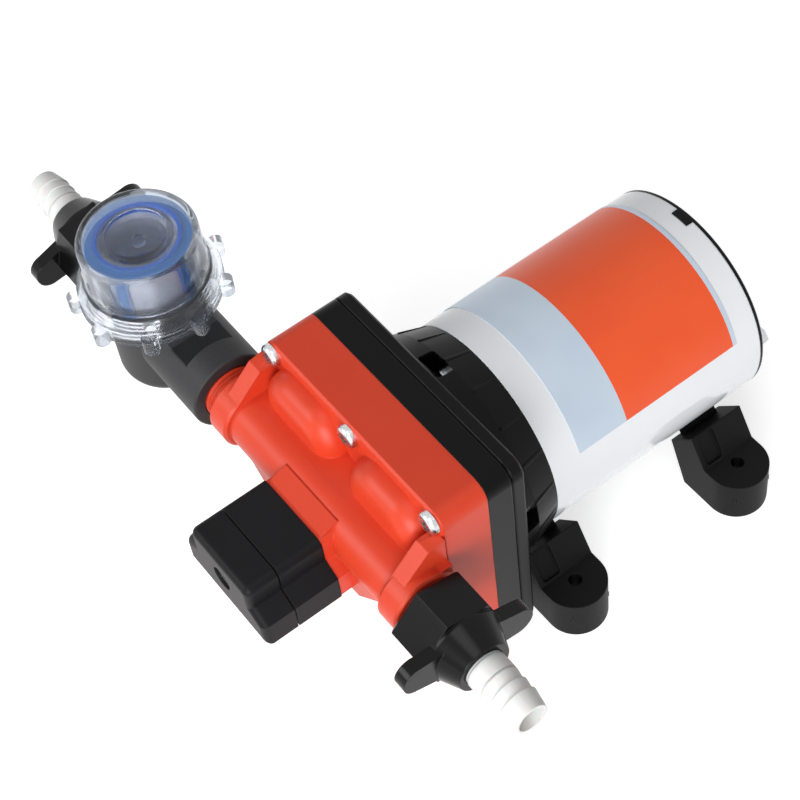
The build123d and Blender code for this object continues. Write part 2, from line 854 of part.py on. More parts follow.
# Drive housing: the second black plate and the ribbed adapter that meets the motor can
adapter_mid_y = adapter_y + adapter_len * adapter_mid_share
with BuildPart() as drive_housing:
    with BuildSketch(front_of(drive_y)):
        head_outline()
    extrude(amount=-drive_flange_t)
    chamfer(drive_housing.faces().sort_by(Axis.Y)[0].edges(), plate_edge)
    chamfer(drive_housing.faces().sort_by(Axis.Y)[-1].edges(), head_edge)
    with BuildSketch(Plane(origin=(0, 0, axis_z), x_dir=(1, 0, 0), z_dir=(0, 0, 1))):
        Polygon(
            (0, drive_y),
            (adapter_front_r, drive_y + head_edge),
            (adapter_front_r, adapter_y),
            (adapter_mid_r, adapter_mid_y),
            (adapter_rear_r, can_y),
            (0, can_y),
        )
    revolve(axis=Axis((0, 0, axis_z), (0, 1, 0)), revolution_arc=360)
    # thin ribs along the cone
    rib_rise = adapter_mid_r - adapter_rear_r
    for i in range(rib_count):
        turn = rib_turn + i * 360 / rib_count
        rib_plane = Plane(
            origin=(0, 0, axis_z),
            x_dir=(sin(radians(turn)), 0, cos(radians(turn))),
            z_dir=(-cos(radians(turn)), 0, sin(radians(turn))),
        )
        with BuildSketch(rib_plane):
            Polygon(
                (adapter_rear_r - rib_rise, adapter_mid_y),
                (adapter_mid_r + rib_h / 2, adapter_mid_y),
                (adapter_mid_r + rib_h * rib_low_share, adapter_mid_y + rib_h),
                (adapter_rear_r + rib_h / 2, can_y - rib_h),
                (adapter_rear_r - rib_rise, can_y - rib_h),
            )
        extrude(amount=rib_t / 2, both=True)
    # room for the diaphragm and the wobble plate, and the hole for the shaft
    with BuildSketch(front_of(drive_y - overrun)):
        Circle(diaphragm_r)
    extrude(amount=-(diaphragm_t + overrun), mode=Mode.SUBTRACT)
    with BuildSketch(front_of(drive_y)):
        Circle(adapter_cavity_r)
    extrude(amount=-(adapter_back - drive_y), mode=Mode.SUBTRACT)
    with BuildSketch(front_of(adapter_back - overrun)):
        Circle(adapter_hole_r)
    extrude(amount=-(adapter_wall_t + 2 * overrun), mode=Mode.SUBTRACT)
    # pockets over the adapter's screws and nuts
    pocket_y = adapter_y + pocket_gap
    for turn in pocket_turns:
        pocket_x, pocket_z = turned(pocket_floor_r, turn)
        pocket_plane = Plane(
            origin=(pocket_x, pocket_y, axis_z + pocket_z),
            x_dir=(cos(radians(turn)), 0, -sin(radians(turn))),
            z_dir=(sin(radians(turn)), 0, cos(radians(turn))),
        )
        with BuildSketch(pocket_plane):
            with Locations((0, pocket_len / 2)):
                RectangleRounded(pocket_w, pocket_len, head_edge)
        extrude(amount=adapter_front_r - pocket_floor_r + overrun, mode=Mode.SUBTRACT)
    for turn in pocket_turns:
        with BuildSketch(front_of(pocket_y + pocket_len - overrun)):
            with Locations(turned(bolt_at, turn)):
                Circle((adapter_screw_r if turn in pocket_turns[::2] else bolt_r) + fit_gap)
        extrude(amount=-(can_y - pocket_y - pocket_len + 2 * overrun), mode=Mode.SUBTRACT)
    with BuildSketch(front_of(drive_y - overrun)):
        with Locations(*screw_places):
            Circle(screw_r + fit_gap)
    extrude(amount=-(drive_flange_t + 2 * overrun), mode=Mode.SUBTRACT)
drive_housing.part.label = "drive_housing"
export_step(drive_housing.part, "parts/drive_housing.step")

# Head screws: six pan heads with cross recesses
with BuildPart() as head_screws:
    with BuildSketch(front_of(flange_y)):
        with Locations(*screw_places):
            Circle(screw_head_r)
    extrude(amount=screw_head_t)
    fillet(head_screws.faces().sort_by(Axis.Y)[0:6].edges(), screw_head_t * head_round_share)
    with BuildSketch(front_of(flange_y)):
        with Locations(*screw_places):
            Circle(screw_r)
    extrude(amount=-(flange_t + plate_t + drive_flange_t))
    with BuildSketch(front_of(flange_y - screw_head_t - overrun)):
        with Locations(*screw_places):
            Rectangle(screw_recess_w, screw_recess_l)
            Rectangle(screw_recess_l, screw_recess_w)
    extrude(amount=-(screw_recess_d + overrun), mode=Mode.SUBTRACT)
head_screws.part.label = "head_screws"
export_step(head_screws.part, "parts/head_screws.step")

# Adapter screws: two pan heads, in the pockets at top and bottom
screw_seat_y = pocket_y + pocket_len
with BuildPart() as adapter_screws:
    for turn in pocket_turns[::2]:
        with BuildSketch(front_of(screw_seat_y)):
            with Locations(turned(bolt_at, turn)):
                Circle(adapter_screw_head_r)
        extrude(amount=adapter_screw_head_t)
        with BuildSketch(front_of(screw_seat_y)):
            with Locations(turned(bolt_at, turn)):
                Circle(adapter_screw_r)
        extrude(amount=-(can_y + front_plate_t - screw_seat_y))
adapter_screws.part.label = "adapter_screws"
export_step(adapter_screws.part, "parts/adapter_screws.step")

# Motor can: a steel tube with a notch at the top rear for the end cap's key
with BuildPart() as motor_can:
    with BuildSketch(front_of(can_y)):
        Circle(can_r)
        Circle(can_r - can_t, mode=Mode.SUBTRACT)
    extrude(amount=-can_len)
    with BuildSketch(level(axis_z + can_r - can_t - overrun, y=can_end - key_len / 2)):
        Rectangle(key_w + 2 * fit_gap, key_len + 2 * fit_gap)
    extrude(amount=can_t + 2 * overrun, mode=Mode.SUBTRACT)
    for station in (foot_pitch_y / 2, can_y + front_saddle_from + bracket_w / 2):
        for turn in (-rivet_turn, rivet_turn):
            rivet_plane = Plane(
                origin=(0, station, axis_z),
                x_dir=(0, 1, 0),
                z_dir=(sin(radians(turn)), 0, -cos(radians(turn))),
            )
            with BuildSketch(rivet_plane.offset(can_r - can_t - overrun)):
                Circle(rivet_r + fit_gap)
            extrude(amount=can_t + 2 * overrun, mode=Mode.SUBTRACT)
motor_can.part.label = "motor_can"
export_step(motor_can.part, "parts/motor_can.step")

# Front plate: closes the can and carries the front bushing
bolt_places = [
    (bolt_at * cos(radians(bolt_turn)), bolt_at * sin(radians(bolt_turn))),
    (-bolt_at * cos(radians(bolt_turn)), -bolt_at * sin(radians(bolt_turn))),
]
with BuildPart() as front_plate:
    with BuildSketch(front_of(can_y)):
        Circle(inner_r - fit_gap / 2)
    extrude(amount=-front_plate_t)
    with BuildSketch(front_of(can_y)):
        Circle(plate_boss_r)
    extrude(amount=-bushing_len)
    with BuildSketch(front_of(can_y - overrun)):
        Circle(bushing_r)
        with Locations(*bolt_places):
            Circle(bolt_r + fit_gap)
        for turn in pocket_turns[::2]:
            with Locations(turned(bolt_at, turn)):
                Circle(adapter_screw_r + fit_gap / 2)
    extrude(amount=-(bushing_len + 2 * overrun), mode=Mode.SUBTRACT)
front_plate.part.label = "front_plate"
export_step(front_plate.part, "parts/front_plate.step")

# Bushings: the shaft runs in them
with BuildPart() as front_bushing:
    with BuildSketch(front_of(can_y)):
        Circle(bushing_r)
        Circle(shaft_r + shaft_gap, mode=Mode.SUBTRACT)
    extrude(amount=-bushing_len)
front_bushing.part.label = "front_bushing"
export_step(front_bushing.part, "parts/front_bushing.step")

with BuildPart() as rear_bushing:
    with BuildSketch(front_of(rear_boss_y)):
        Circle(bushing_r)
        Circle(shaft_r + shaft_gap, mode=Mode.SUBTRACT)
    extrude(amount=-cap_boss_len)
rear_bushing.part.label = "rear_bushing"
export_step(rear_bushing.part, "parts/rear_bushing.step")

# Motor shaft: from the cam to the rear bushing
shaft_end = can_end - seat_gap
with BuildPart() as motor_shaft:
    with BuildSketch(front_of(bearing_y)):
        Circle(shaft_r)
    extrude(amount=-(shaft_end - bearing_y))
    chamfer(motor_shaft.faces().sort_by(Axis.Y)[-1].edges(), head_edge)
motor_shaft.part.label = "motor_shaft"
export_step(motor_shaft.part, "parts/motor_shaft.step")

# Armature core: slotted laminations on the shaft
with BuildPart() as armature_core:
    with BuildSketch(front_of(core_y)):
        Circle(core_r)
        Circle(shaft_r, mode=Mode.SUBTRACT)
        with PolarLocations(core_r - core_slot_d / 2, core_slots):
            Rectangle(core_slot_d + overrun, core_slot_w, mode=Mode.SUBTRACT)
    extrude(amount=-core_len)
armature_core.part.label = "armature_core"
export_step(armature_core.part, "parts/armature_core.step")

# Windings: the bars in the slots and the two end bundles
winding_fill_share = 0.8
with BuildPart() as windings:
    with BuildSketch(front_of(core_y - winding_len)):
        with PolarLocations(core_r - core_slot_d / 2 - fit_gap, core_slots):
            Rectangle(core_slot_d * winding_fill_share, core_slot_w - 2 * fit_gap)
    extrude(amount=-(core_len + 2 * winding_len))
    for y in (core_y - winding_len, core_end):
        with BuildSketch(front_of(y)):
            Circle(winding_out_r)
            Circle(winding_in_r, mode=Mode.SUBTRACT)
        extrude(amount=-winding_len)
windings.part.label = "windings"
export_step(windings.part, "parts/windings.step")

# Commutator: a slit copper barrel behind the windings
with BuildPart() as commutator:
    with BuildSketch(front_of(commutator_y)):
        Circle(commutator_r)
        Circle(shaft_r, mode=Mode.SUBTRACT)
        with PolarLocations(commutator_r, commutator_slots):
            Rectangle(2 * commutator_slot_d, commutator_slot_w, mode=Mode.SUBTRACT)
    extrude(amount=-commutator_len)
commutator.part.label = "commutator"
export_step(commutator.part, "parts/commutator.step")

# Magnets: two arcs against the can, above and below the armature
magnet_y = core_y + (core_len - magnet_len) / 2
with BuildPart() as motor_magnets:
    for middle in (90, 270):
        with BuildSketch(front_of(magnet_y)):
            with BuildLine():
                CenterArc((0, 0), inner_r, middle - magnet_span / 2, magnet_span)
                CenterArc((0, 0), magnet_in_r, middle - magnet_span / 2, magnet_span)
                for turn in (middle - magnet_span / 2, middle + magnet_span / 2):
                    Line(
                        (magnet_in_r * cos(radians(turn)), magnet_in_r * sin(radians(turn))),
                        (inner_r * cos(radians(turn)), inner_r * sin(radians(turn))),
                    )
            make_face()
        extrude(amount=-magnet_len)
motor_magnets.part.label = "motor_magnets"
export_step(motor_magnets.part, "parts/motor_magnets.step")

# Brush plate: a disc inside the end cap with two box holders in front of it
brush_y = commutator_y + (commutator_len - brush_t) / 2
holder_w = brush_w + 2 * holder_wall
with BuildPart() as brush_plate:
    with BuildSketch(front_of(brush_plate_y)):
        Circle(inner_r - fit_gap / 2)
        Circle(cap_boss_r + seat_gap, mode=Mode.SUBTRACT)
    extrude(amount=-brush_plate_t)
    for way in (-1, 1):
        with BuildSketch(front_of(brush_y - holder_wall)):
            with Locations((0, way * (commutator_r + 2 * holder_wall + holder_out_r) / 2)):
                Rectangle(holder_w, holder_out_r - commutator_r - 2 * holder_wall)
        extrude(amount=-(brush_plate_y - brush_y + holder_wall))
        with BuildSketch(front_of(brush_y)):
            with Locations((0, way * (commutator_r + holder_out_r - holder_wall) / 2)):
                Rectangle(brush_w, holder_out_r - commutator_r - holder_wall)
        extrude(amount=-brush_t, mode=Mode.SUBTRACT)
    with BuildSketch(front_of(brush_plate_y - overrun)):
        with Locations(*bolt_places):
            Circle(bolt_r + fit_gap)
    extrude(amount=-(brush_plate_t + 2 * overrun), mode=Mode.SUBTRACT)
brush_plate.part.label = "brush_plate"
export_step(brush_plate.part, "parts/brush_plate.step")

# Brushes: two carbon blocks on the commutator
with BuildPart() as brushes:
    for way in (-1, 1):
        with BuildSketch(front_of(brush_y)):
            with Locations((0, way * (commutator_r + brush_air + brush_len / 2))):
                Rectangle(brush_w, brush_len)
        extrude(amount=-brush_t)
brushes.part.label = "brushes"
export_step(brushes.part, "parts/brushes.step")

# Brush springs: each fills the holder behind its brush
brush_top = commutator_r + brush_air + brush_len
with BuildPart() as brush_springs:
    for way in (-1, 1):
        spring_plane = Plane(
            origin=(0, brush_y + brush_t / 2, axis_z + way * brush_top),
            x_dir=(1, 0, 0),
            z_dir=(0, 0, way),
        )
        with BuildSketch(spring_plane):
            Circle(spring_r)
            Circle(spring_bore_r, mode=Mode.SUBTRACT)
        extrude(amount=holder_out_r - holder_wall - brush_top)
brush_springs.part.label = "brush_springs"
export_step(brush_springs.part, "parts/brush_springs.step")

# End cap: the black rim behind the can, its spigot, bushing seat and key
with BuildPart() as end_cap:
    with BuildSketch(front_of(can_end)):
        Circle(can_r)
    extrude(amount=-cap_rim_t)
    chamfer(end_cap.faces().sort_by(Axis.Y)[-1].edges(), cap_edge)
    with BuildSketch(front_of(can_end - cap_spigot_t)):
        Circle(inner_r - fit_gap / 2)
        Circle(inner_r - cap_wall, mode=Mode.SUBTRACT)
    extrude(amount=-cap_spigot_t)
    with BuildSketch(front_of(rear_boss_y)):
        Circle(cap_boss_r)
        Circle(bushing_r, mode=Mode.SUBTRACT)
    extrude(amount=-cap_boss_len)
    with BuildSketch(level(axis_z + inner_r - cap_wall / 2, y=can_end - key_len / 2)):
        Rectangle(key_w, key_len)
    extrude(amount=can_t + cap_wall / 2 + key_rise)
    # pillars round the through bolts, holes for them and for the cable grommet
    with BuildSketch(front_of(can_end - cap_spigot_t)):
        with Locations(*bolt_places):
            Circle(bolt_r + cap_wall)
        Circle(inner_r - fit_gap, mode=Mode.INTERSECT)
    extrude(amount=-cap_spigot_t)
    with BuildSketch(front_of(can_end - cap_spigot_t - overrun)):
        with Locations(*bolt_places):
            Circle(bolt_r + fit_gap)
        with Locations((0, -grommet_down)):
            Circle(grommet_r)
    extrude(amount=-(cap_spigot_t + cap_rim_t + 2 * overrun), mode=Mode.SUBTRACT)
end_cap.part.label = "end_cap"
export_step(end_cap.part, "parts/end_cap.step")

# Cable grommet in the end cap
with BuildPart() as cable_grommet:
    with BuildSketch(front_of(can_end)):
        with Locations((0, -grommet_down)):
            Circle(grommet_r)
    extrude(amount=-cap_rim_t)
    with BuildSketch(front_of(cap_end)):
        with Locations((0, -grommet_down)):
            Circle(grommet_flange_r)
    extrude(amount=-grommet_flange_t)
    with BuildSketch(front_of(can_end - overrun)):
        with Locations((0, -grommet_down)):
            Circle(grommet_bore_r)
    extrude(amount=-(cap_rim_t + grommet_flange_t + 2 * overrun), mode=Mode.SUBTRACT)
cable_grommet.part.label = "cable_grommet"
export_step(cable_grommet.part, "parts/cable_grommet.step")

# Through bolts: hex heads behind the end cap, nuts in the adapter's side pockets
with BuildPart() as through_bolts:
    with BuildSketch(front_of(cap_end)):
        with Locations(*bolt_places):
            RegularPolygon(bolt_head_r, 6, rotation=bolt_turn)
    extrude(amount=-bolt_head_t)
    with BuildSketch(front_of(screw_seat_y - nut_t - head_edge)):
        with Locations(*bolt_places):
            Circle(bolt_r)
    extrude(amount=-(cap_end - screw_seat_y + nut_t + head_edge))
through_bolts.part.label = "through_bolts"
export_step(through_bolts.part, "parts/through_bolts.step")

with BuildPart() as bolt_nuts:
    with BuildSketch(front_of(screw_seat_y)):
        with Locations(*bolt_places):
            RegularPolygon(nut_r, 6, rotation=bolt_turn + 30)
            Circle(bolt_r, mode=Mode.SUBTRACT)
    extrude(amount=nut_t)
bolt_nuts.part.label = "bolt_nuts"
export_step(bolt_nuts.part, "parts/bolt_nuts.step")

# Label: a thin band round the upper side of the can
label_in_r = can_r + label_gap
label_out_r = label_in_r + label_t
with BuildPart() as motor_label:
    with BuildSketch(front_of(can_y + label_from)):
        with BuildLine():
            CenterArc((0, 0), label_in_r, 90 - label_span / 2, label_span)
            CenterArc((0, 0), label_out_r, 90 - label_span / 2, label_span)
            for turn in (90 - label_span / 2, 90 + label_span / 2):
                Line(
                    (label_in_r * cos(radians(turn)), label_in_r * sin(radians(turn))),
                    (label_out_r * cos(radians(turn)), label_out_r * sin(radians(turn))),
                )
        make_face()
    extrude(amount=-label_len)
motor_label.part.label = "motor_label"
export_step(motor_label.part, "parts/motor_label.step")

# Switch boot: the rear half of the pressure switch, open at its front
with BuildPart() as switch_boot:
    with BuildSketch(front_of(boss_y, z=switch_z)) as boot_face:
        switch_outline(switch_grow)
        round_switch_corners(boot_face, switch_grow)
    extrude(amount=boot_len - switch_seam)
    with BuildSketch(front_of(boss_y - switch_wall, z=switch_z)) as boot_room:
        switch_outline(switch_grow - switch_wall)
        round_switch_corners(boot_room, -switch_wall / 2)
    extrude(amount=boot_len + overrun, mode=Mode.SUBTRACT)
    with BuildSketch(front_of(boss_y + overrun, z=switch_z)):
        Circle(plunger_foot_r + seat_gap)
    extrude(amount=switch_wall + 2 * overrun, mode=Mode.SUBTRACT)
    with BuildSketch(front_of(boss_y + overrun, z=port_z)):
        with Locations((-switch_screw_x, -switch_screw_down), (switch_screw_x, -switch_screw_down)):
            Circle(switch_screw_r + fit_gap)
    extrude(amount=switch_wall + 2 * overrun, mode=Mode.SUBTRACT)
    with BuildSketch(level(switch_low_z - overrun, y=boss_y - switch_grommet_y)):
        Circle(switch_grommet_r)
    extrude(amount=switch_wall + 2 * overrun, mode=Mode.SUBTRACT)
switch_boot.part.label = "switch_boot"
export_step(switch_boot.part, "parts/switch_boot.step")

# Switch cap: the front half, with the adjusting screw's boss inside
cap_face_y = switch_end + switch_wall
with BuildPart() as switch_cap:
    with BuildSketch(front_of(boot_end, z=switch_z)) as cap_face:
        switch_outline(switch_grow)
        round_switch_corners(cap_face, switch_grow)
    extrude(amount=switch_cap_len)
    fillet(switch_cap.faces().sort_by(Axis.Y)[0].edges(), switch_front_edge)
    # tab under the cap's middle
    with BuildSketch(front_of(boot_end, z=switch_low_z)):
        Rectangle(tab_w, 2 * tab_h)
    extrude(amount=switch_cap_len - switch_front_edge)
    with BuildSketch(front_of(cap_face_y, z=switch_z)) as cap_room:
        switch_outline(switch_grow - switch_wall)
        round_switch_corners(cap_room, -switch_wall / 2)
    extrude(amount=-(switch_cap_len + overrun), mode=Mode.SUBTRACT)
    with BuildSketch(front_of(cap_face_y, z=switch_z)):
        Circle(adjuster_r + switch_wall)
    extrude(amount=-(switch_cap_len - switch_wall) / 2)
    with BuildSketch(front_of(switch_end - overrun, z=switch_z)):
        Circle(adjuster_r + shaft_gap)
    extrude(amount=-(switch_cap_len + overrun), mode=Mode.SUBTRACT)
switch_cap.part.label = "switch_cap"
export_step(switch_cap.part, "parts/switch_cap.step")

# Switch diaphragm in the boss's recess
with BuildPart() as switch_diaphragm:
    with BuildSketch(front_of(boss_y, z=switch_z)):
        Circle(recess_r - fit_gap)
    extrude(amount=-switch_dia_t)
switch_diaphragm.part.label = "switch_diaphragm"
export_step(switch_diaphragm.part, "parts/switch_diaphragm.step")

# Plunger: its foot rests on the diaphragm, and its stem guides the spring
plunger_foot_y = boss_y - plunger_foot_t
with BuildPart() as switch_plunger:
    with BuildSketch(front_of(boss_y, z=switch_z)):
        Circle(plunger_foot_r)
    extrude(amount=plunger_foot_t)
    with BuildSketch(front_of(plunger_foot_y, z=switch_z)):
        Circle(plunger_r)
    extrude(amount=plunger_len)
switch_plunger.part.label = "switch_plunger"
export_step(switch_plunger.part, "parts/switch_plunger.step")

# Adjusting screw: a hex socket screw in the cap, its nose on the spring
adjuster_y = switch_end + adjuster_sunk
adjuster_end = adjuster_y + adjuster_len
with BuildPart() as adjusting_screw:
    with BuildSketch(front_of(adjuster_y, z=switch_z)):
        Circle(adjuster_r)
    extrude(amount=-adjuster_len)
    with BuildSketch(front_of(adjuster_y - overrun, z=switch_z)):
        RegularPolygon(adjuster_hex_r, 6)
    extrude(amount=-(adjuster_hex_d + overrun), mode=Mode.SUBTRACT)
    with BuildSketch(front_of(adjuster_end - plunger_r, z=switch_z)):
        Circle(plunger_r + seat_gap)
    extrude(amount=-(plunger_r + overrun), mode=Mode.SUBTRACT)
adjusting_screw.part.label = "adjusting_screw"
export_step(adjusting_screw.part, "parts/adjusting_screw.step")

# Spring seat: a disc between the adjusting screw's nose and the spring
seat_end = adjuster_end + seat_t
with BuildPart() as spring_seat:
    with BuildSketch(front_of(adjuster_end, z=switch_z)):
        Circle(spring_out_r)
        Circle(plunger_r + seat_gap, mode=Mode.SUBTRACT)
    extrude(amount=-seat_t)
spring_seat.part.label = "spring_seat"
export_step(spring_seat.part, "parts/spring_seat.step")

# Switch spring: between the plunger's foot and the spring seat
with BuildPart() as switch_spring:
    with BuildSketch(front_of(plunger_foot_y, z=switch_z)):
        Circle(spring_out_r)
        Circle(spring_in_r, mode=Mode.SUBTRACT)
    extrude(amount=plunger_foot_y - seat_end)
switch_spring.part.label = "switch_spring"
export_step(switch_spring.part, "parts/switch_spring.step")

# Microswitch on the boot's floor, its button towards the plunger's foot
micro_y = plunger_foot_y - plunger_travel - micro_button_len
micro_z = switch_low_z + switch_wall + micro_h / 2
with BuildPart() as microswitch:
    with BuildSketch(front_of(micro_y, z=micro_z)):
        Rectangle(micro_w, micro_h)
    extrude(amount=micro_d)
    with BuildSketch(front_of(micro_y, z=micro_z + micro_h / 2 - micro_button_r)):
        Circle(micro_button_r)
    extrude(amount=-micro_button_len)
microswitch.part.label = "microswitch"
export_step(microswitch.part, "parts/microswitch.step")

# Terminals: two blades on the microswitch's front
with BuildPart() as switch_terminals:
    with BuildSketch(front_of(micro_y - micro_d, z=micro_z)):
        with Locations((-terminal_pitch / 2, 0), (terminal_pitch / 2, 0)):
            Rectangle(terminal_w, terminal_t)
    extrude(amount=terminal_len)
switch_terminals.part.label = "switch_terminals"
export_step(switch_terminals.part, "parts/switch_terminals.step")

# Switch screws: they hold the boot to the boss
with BuildPart() as switch_screws:
    with BuildSketch(front_of(boss_y - switch_wall, z=port_z)):
        with Locations((-switch_screw_x, -switch_screw_down), (switch_screw_x, -switch_screw_down)):
            Circle(switch_screw_head_r)
    extrude(amount=switch_screw_head_t)
    with BuildSketch(front_of(boss_y - switch_wall, z=port_z)):
        with Locations((-switch_screw_x, -switch_screw_down), (switch_screw_x, -switch_screw_down)):
            Circle(switch_screw_r)
    extrude(amount=-(switch_screw_len + switch_wall - overrun))
switch_screws.part.label = "switch_screws"
export_step(switch_screws.part, "parts/switch_screws.step")

# Switch grommet: the wires' way out under the boot
with BuildPart() as switch_grommet:
    with BuildSketch(level(switch_low_z - overrun, y=boss_y - switch_grommet_y)):
        Circle(switch_grommet_r + overrun)
        Circle(switch_grommet_r / 2, mode=Mode.SUBTRACT)
    extrude(amount=overrun)
    with BuildSketch(level(switch_low_z, y=boss_y - switch_grommet_y)):
        Circle(switch_grommet_r)
        Circle(switch_grommet_r / 2, mode=Mode.SUBTRACT)
    extrude(amount=switch_wall)
switch_grommet.part.label = "switch_grommet"
export_step(switch_grommet.part, "parts/switch_grommet.step")


def wing_nut(face_x, way):
    """A wing nut on the port axis: hexagon, cone and two wings, outwards from face_x."""
    with BuildPart() as nut:
        with BuildSketch(port_at(face_x, way)):
            RegularPolygon(hex_r, 6, rotation=wing_turn)
        extrude(amount=hex_len)
        chamfer(nut.faces().sort_by(Axis.X)[0 if way > 0 else -1].edges(), nut_edge)
        flats_r = hex_r * cos(radians(30))
        with BuildSketch(Plane(origin=(face_x, port_y, port_z), x_dir=(way, 0, 0), z_dir=(0, -way, 0))):
            Polygon(
                (hex_len - nut_edge, 0),
                (hex_len - nut_edge, flats_r),
                (hex_len + nut_edge, flats_r),
                (hex_len + cone_len, cone_end_r),
                (hex_len + cone_len, 0),
            )
        revolve(axis=Axis((face_x, port_y, port_z), (1, 0, 0)), revolution_arc=360)
        # wings, on the cone's shoulder
        wing_x = face_x + way * (hex_len - wing_in)
        with BuildSketch(port_at(wing_x, way)):
            for side in (-1, 1):
                turn = radians(wing_turn)
                reach = wing_tip - wing_tip_r
                half = wing_root_w / 2
                spots = [(0, half), (reach, wing_tip_r), (reach, -wing_tip_r), (0, -half)]
                corners = [
                    (side * (u * cos(turn) - v * sin(turn)), side * (u * sin(turn) + v * cos(turn)))
                    for u, v in spots
                ]
                Polygon(*corners)
                with Locations((side * reach * cos(turn), side * reach * sin(turn))):
                    Circle(wing_tip_r)
        extrude(amount=wing_t)
        with BuildSketch(port_at(face_x - way * overrun, way)):
            Circle(thread_r + seat_gap)
        extrude(amount=nut_bore_len + overrun, mode=Mode.SUBTRACT)
        with BuildSketch(port_at(face_x, way)):
            Circle(barb_neck_r + seat_gap)
        extrude(amount=hex_len + cone_len + overrun, mode=Mode.SUBTRACT)
    return nut


def hose_barb(face_x, way):
    """A hose barb: flange inside the nut, plain land, then sawtooth ridges to the tip."""
    start = stub_end - nut_face + washer_t
    ridge_from = barb_land_end + barb_groove
    outline = [
        (start, barb_bore_r),
        (start, barb_flange_r),
        (start + barb_flange_t, barb_flange_r),
        (start + barb_flange_t, barb_neck_r),
        (barb_land_from, barb_neck_r),
        (barb_land_from, barb_land_r),
        (barb_land_end, barb_land_r),
        (barb_land_end, barb_root_r),
    ]
    for k in range(barb_ridges):
        crest = ridge_from + k * barb_ridge_pitch
        root = crest + barb_ridge_pitch
        outline.append((crest, barb_root_r))
        outline.append((crest, barb_land_r))
        if k < barb_ridges - 1:
            outline.append((root, barb_root_r))
    outline = [outline[i] for i in range(len(outline)) if i == 0 or outline[i] != outline[i - 1]]
    outline.append((barb_end, barb_tip_r))
    outline.append((barb_end, barb_bore_r))
    with BuildPart() as barb:
        with BuildSketch(Plane(origin=(face_x, port_y, port_z), x_dir=(way, 0, 0), z_dir=(0, -way, 0))):
            Polygon(*outline)
        revolve(axis=Axis((face_x, port_y, port_z), (1, 0, 0)), revolution_arc=360)
    return barb


def flat_washer(start_x, way):
    """A washer between a port's end and the barb's flange."""
    with BuildPart() as washer:
        with BuildSketch(port_at(start_x, way)):
            Circle(barb_flange_r)
            Circle(washer_in_r, mode=Mode.SUBTRACT)
        extrude(amount=washer_t)
    return washer


# Outlet: wing nut, barb and washer on the pump's right port
outlet_nut = wing_nut(nut_face, 1)
outlet_nut.part.label = "outlet_nut"
export_step(outlet_nut.part, "parts/outlet_nut.step")

outlet_barb = hose_barb(nut_face, 1)
outlet_barb.part.label = "outlet_barb"
export_step(outlet_barb.part, "parts/outlet_barb.step")

outlet_washer = flat_washer(stub_end, 1)
outlet_washer.part.label = "outlet_washer"
export_step(outlet_washer.part, "parts/outlet_washer.step")

# Inlet: the same three pieces on the strainer's far end
inlet_nut = wing_nut(inlet_nut_face, -1)
inlet_nut.part.label = "inlet_nut"
export_step(inlet_nut.part, "parts/inlet_nut.step")

inlet_barb = hose_barb(inlet_nut_face, -1)
inlet_barb.part.label = "inlet_barb"
export_step(inlet_barb.part, "parts/inlet_barb.step")

inlet_stub_end = inlet_nut_face - (stub_end - nut_face)
inlet_washer = flat_washer(inlet_stub_end, -1)
inlet_washer.part.label = "inlet_washer"
export_step(inlet_washer.part, "parts/inlet_washer.step")


def strainer_level(up):
    """A level plane across the strainer's axis, at a height above the port axis."""
    return level(port_z + up, x=strainer_x, y=port_y)


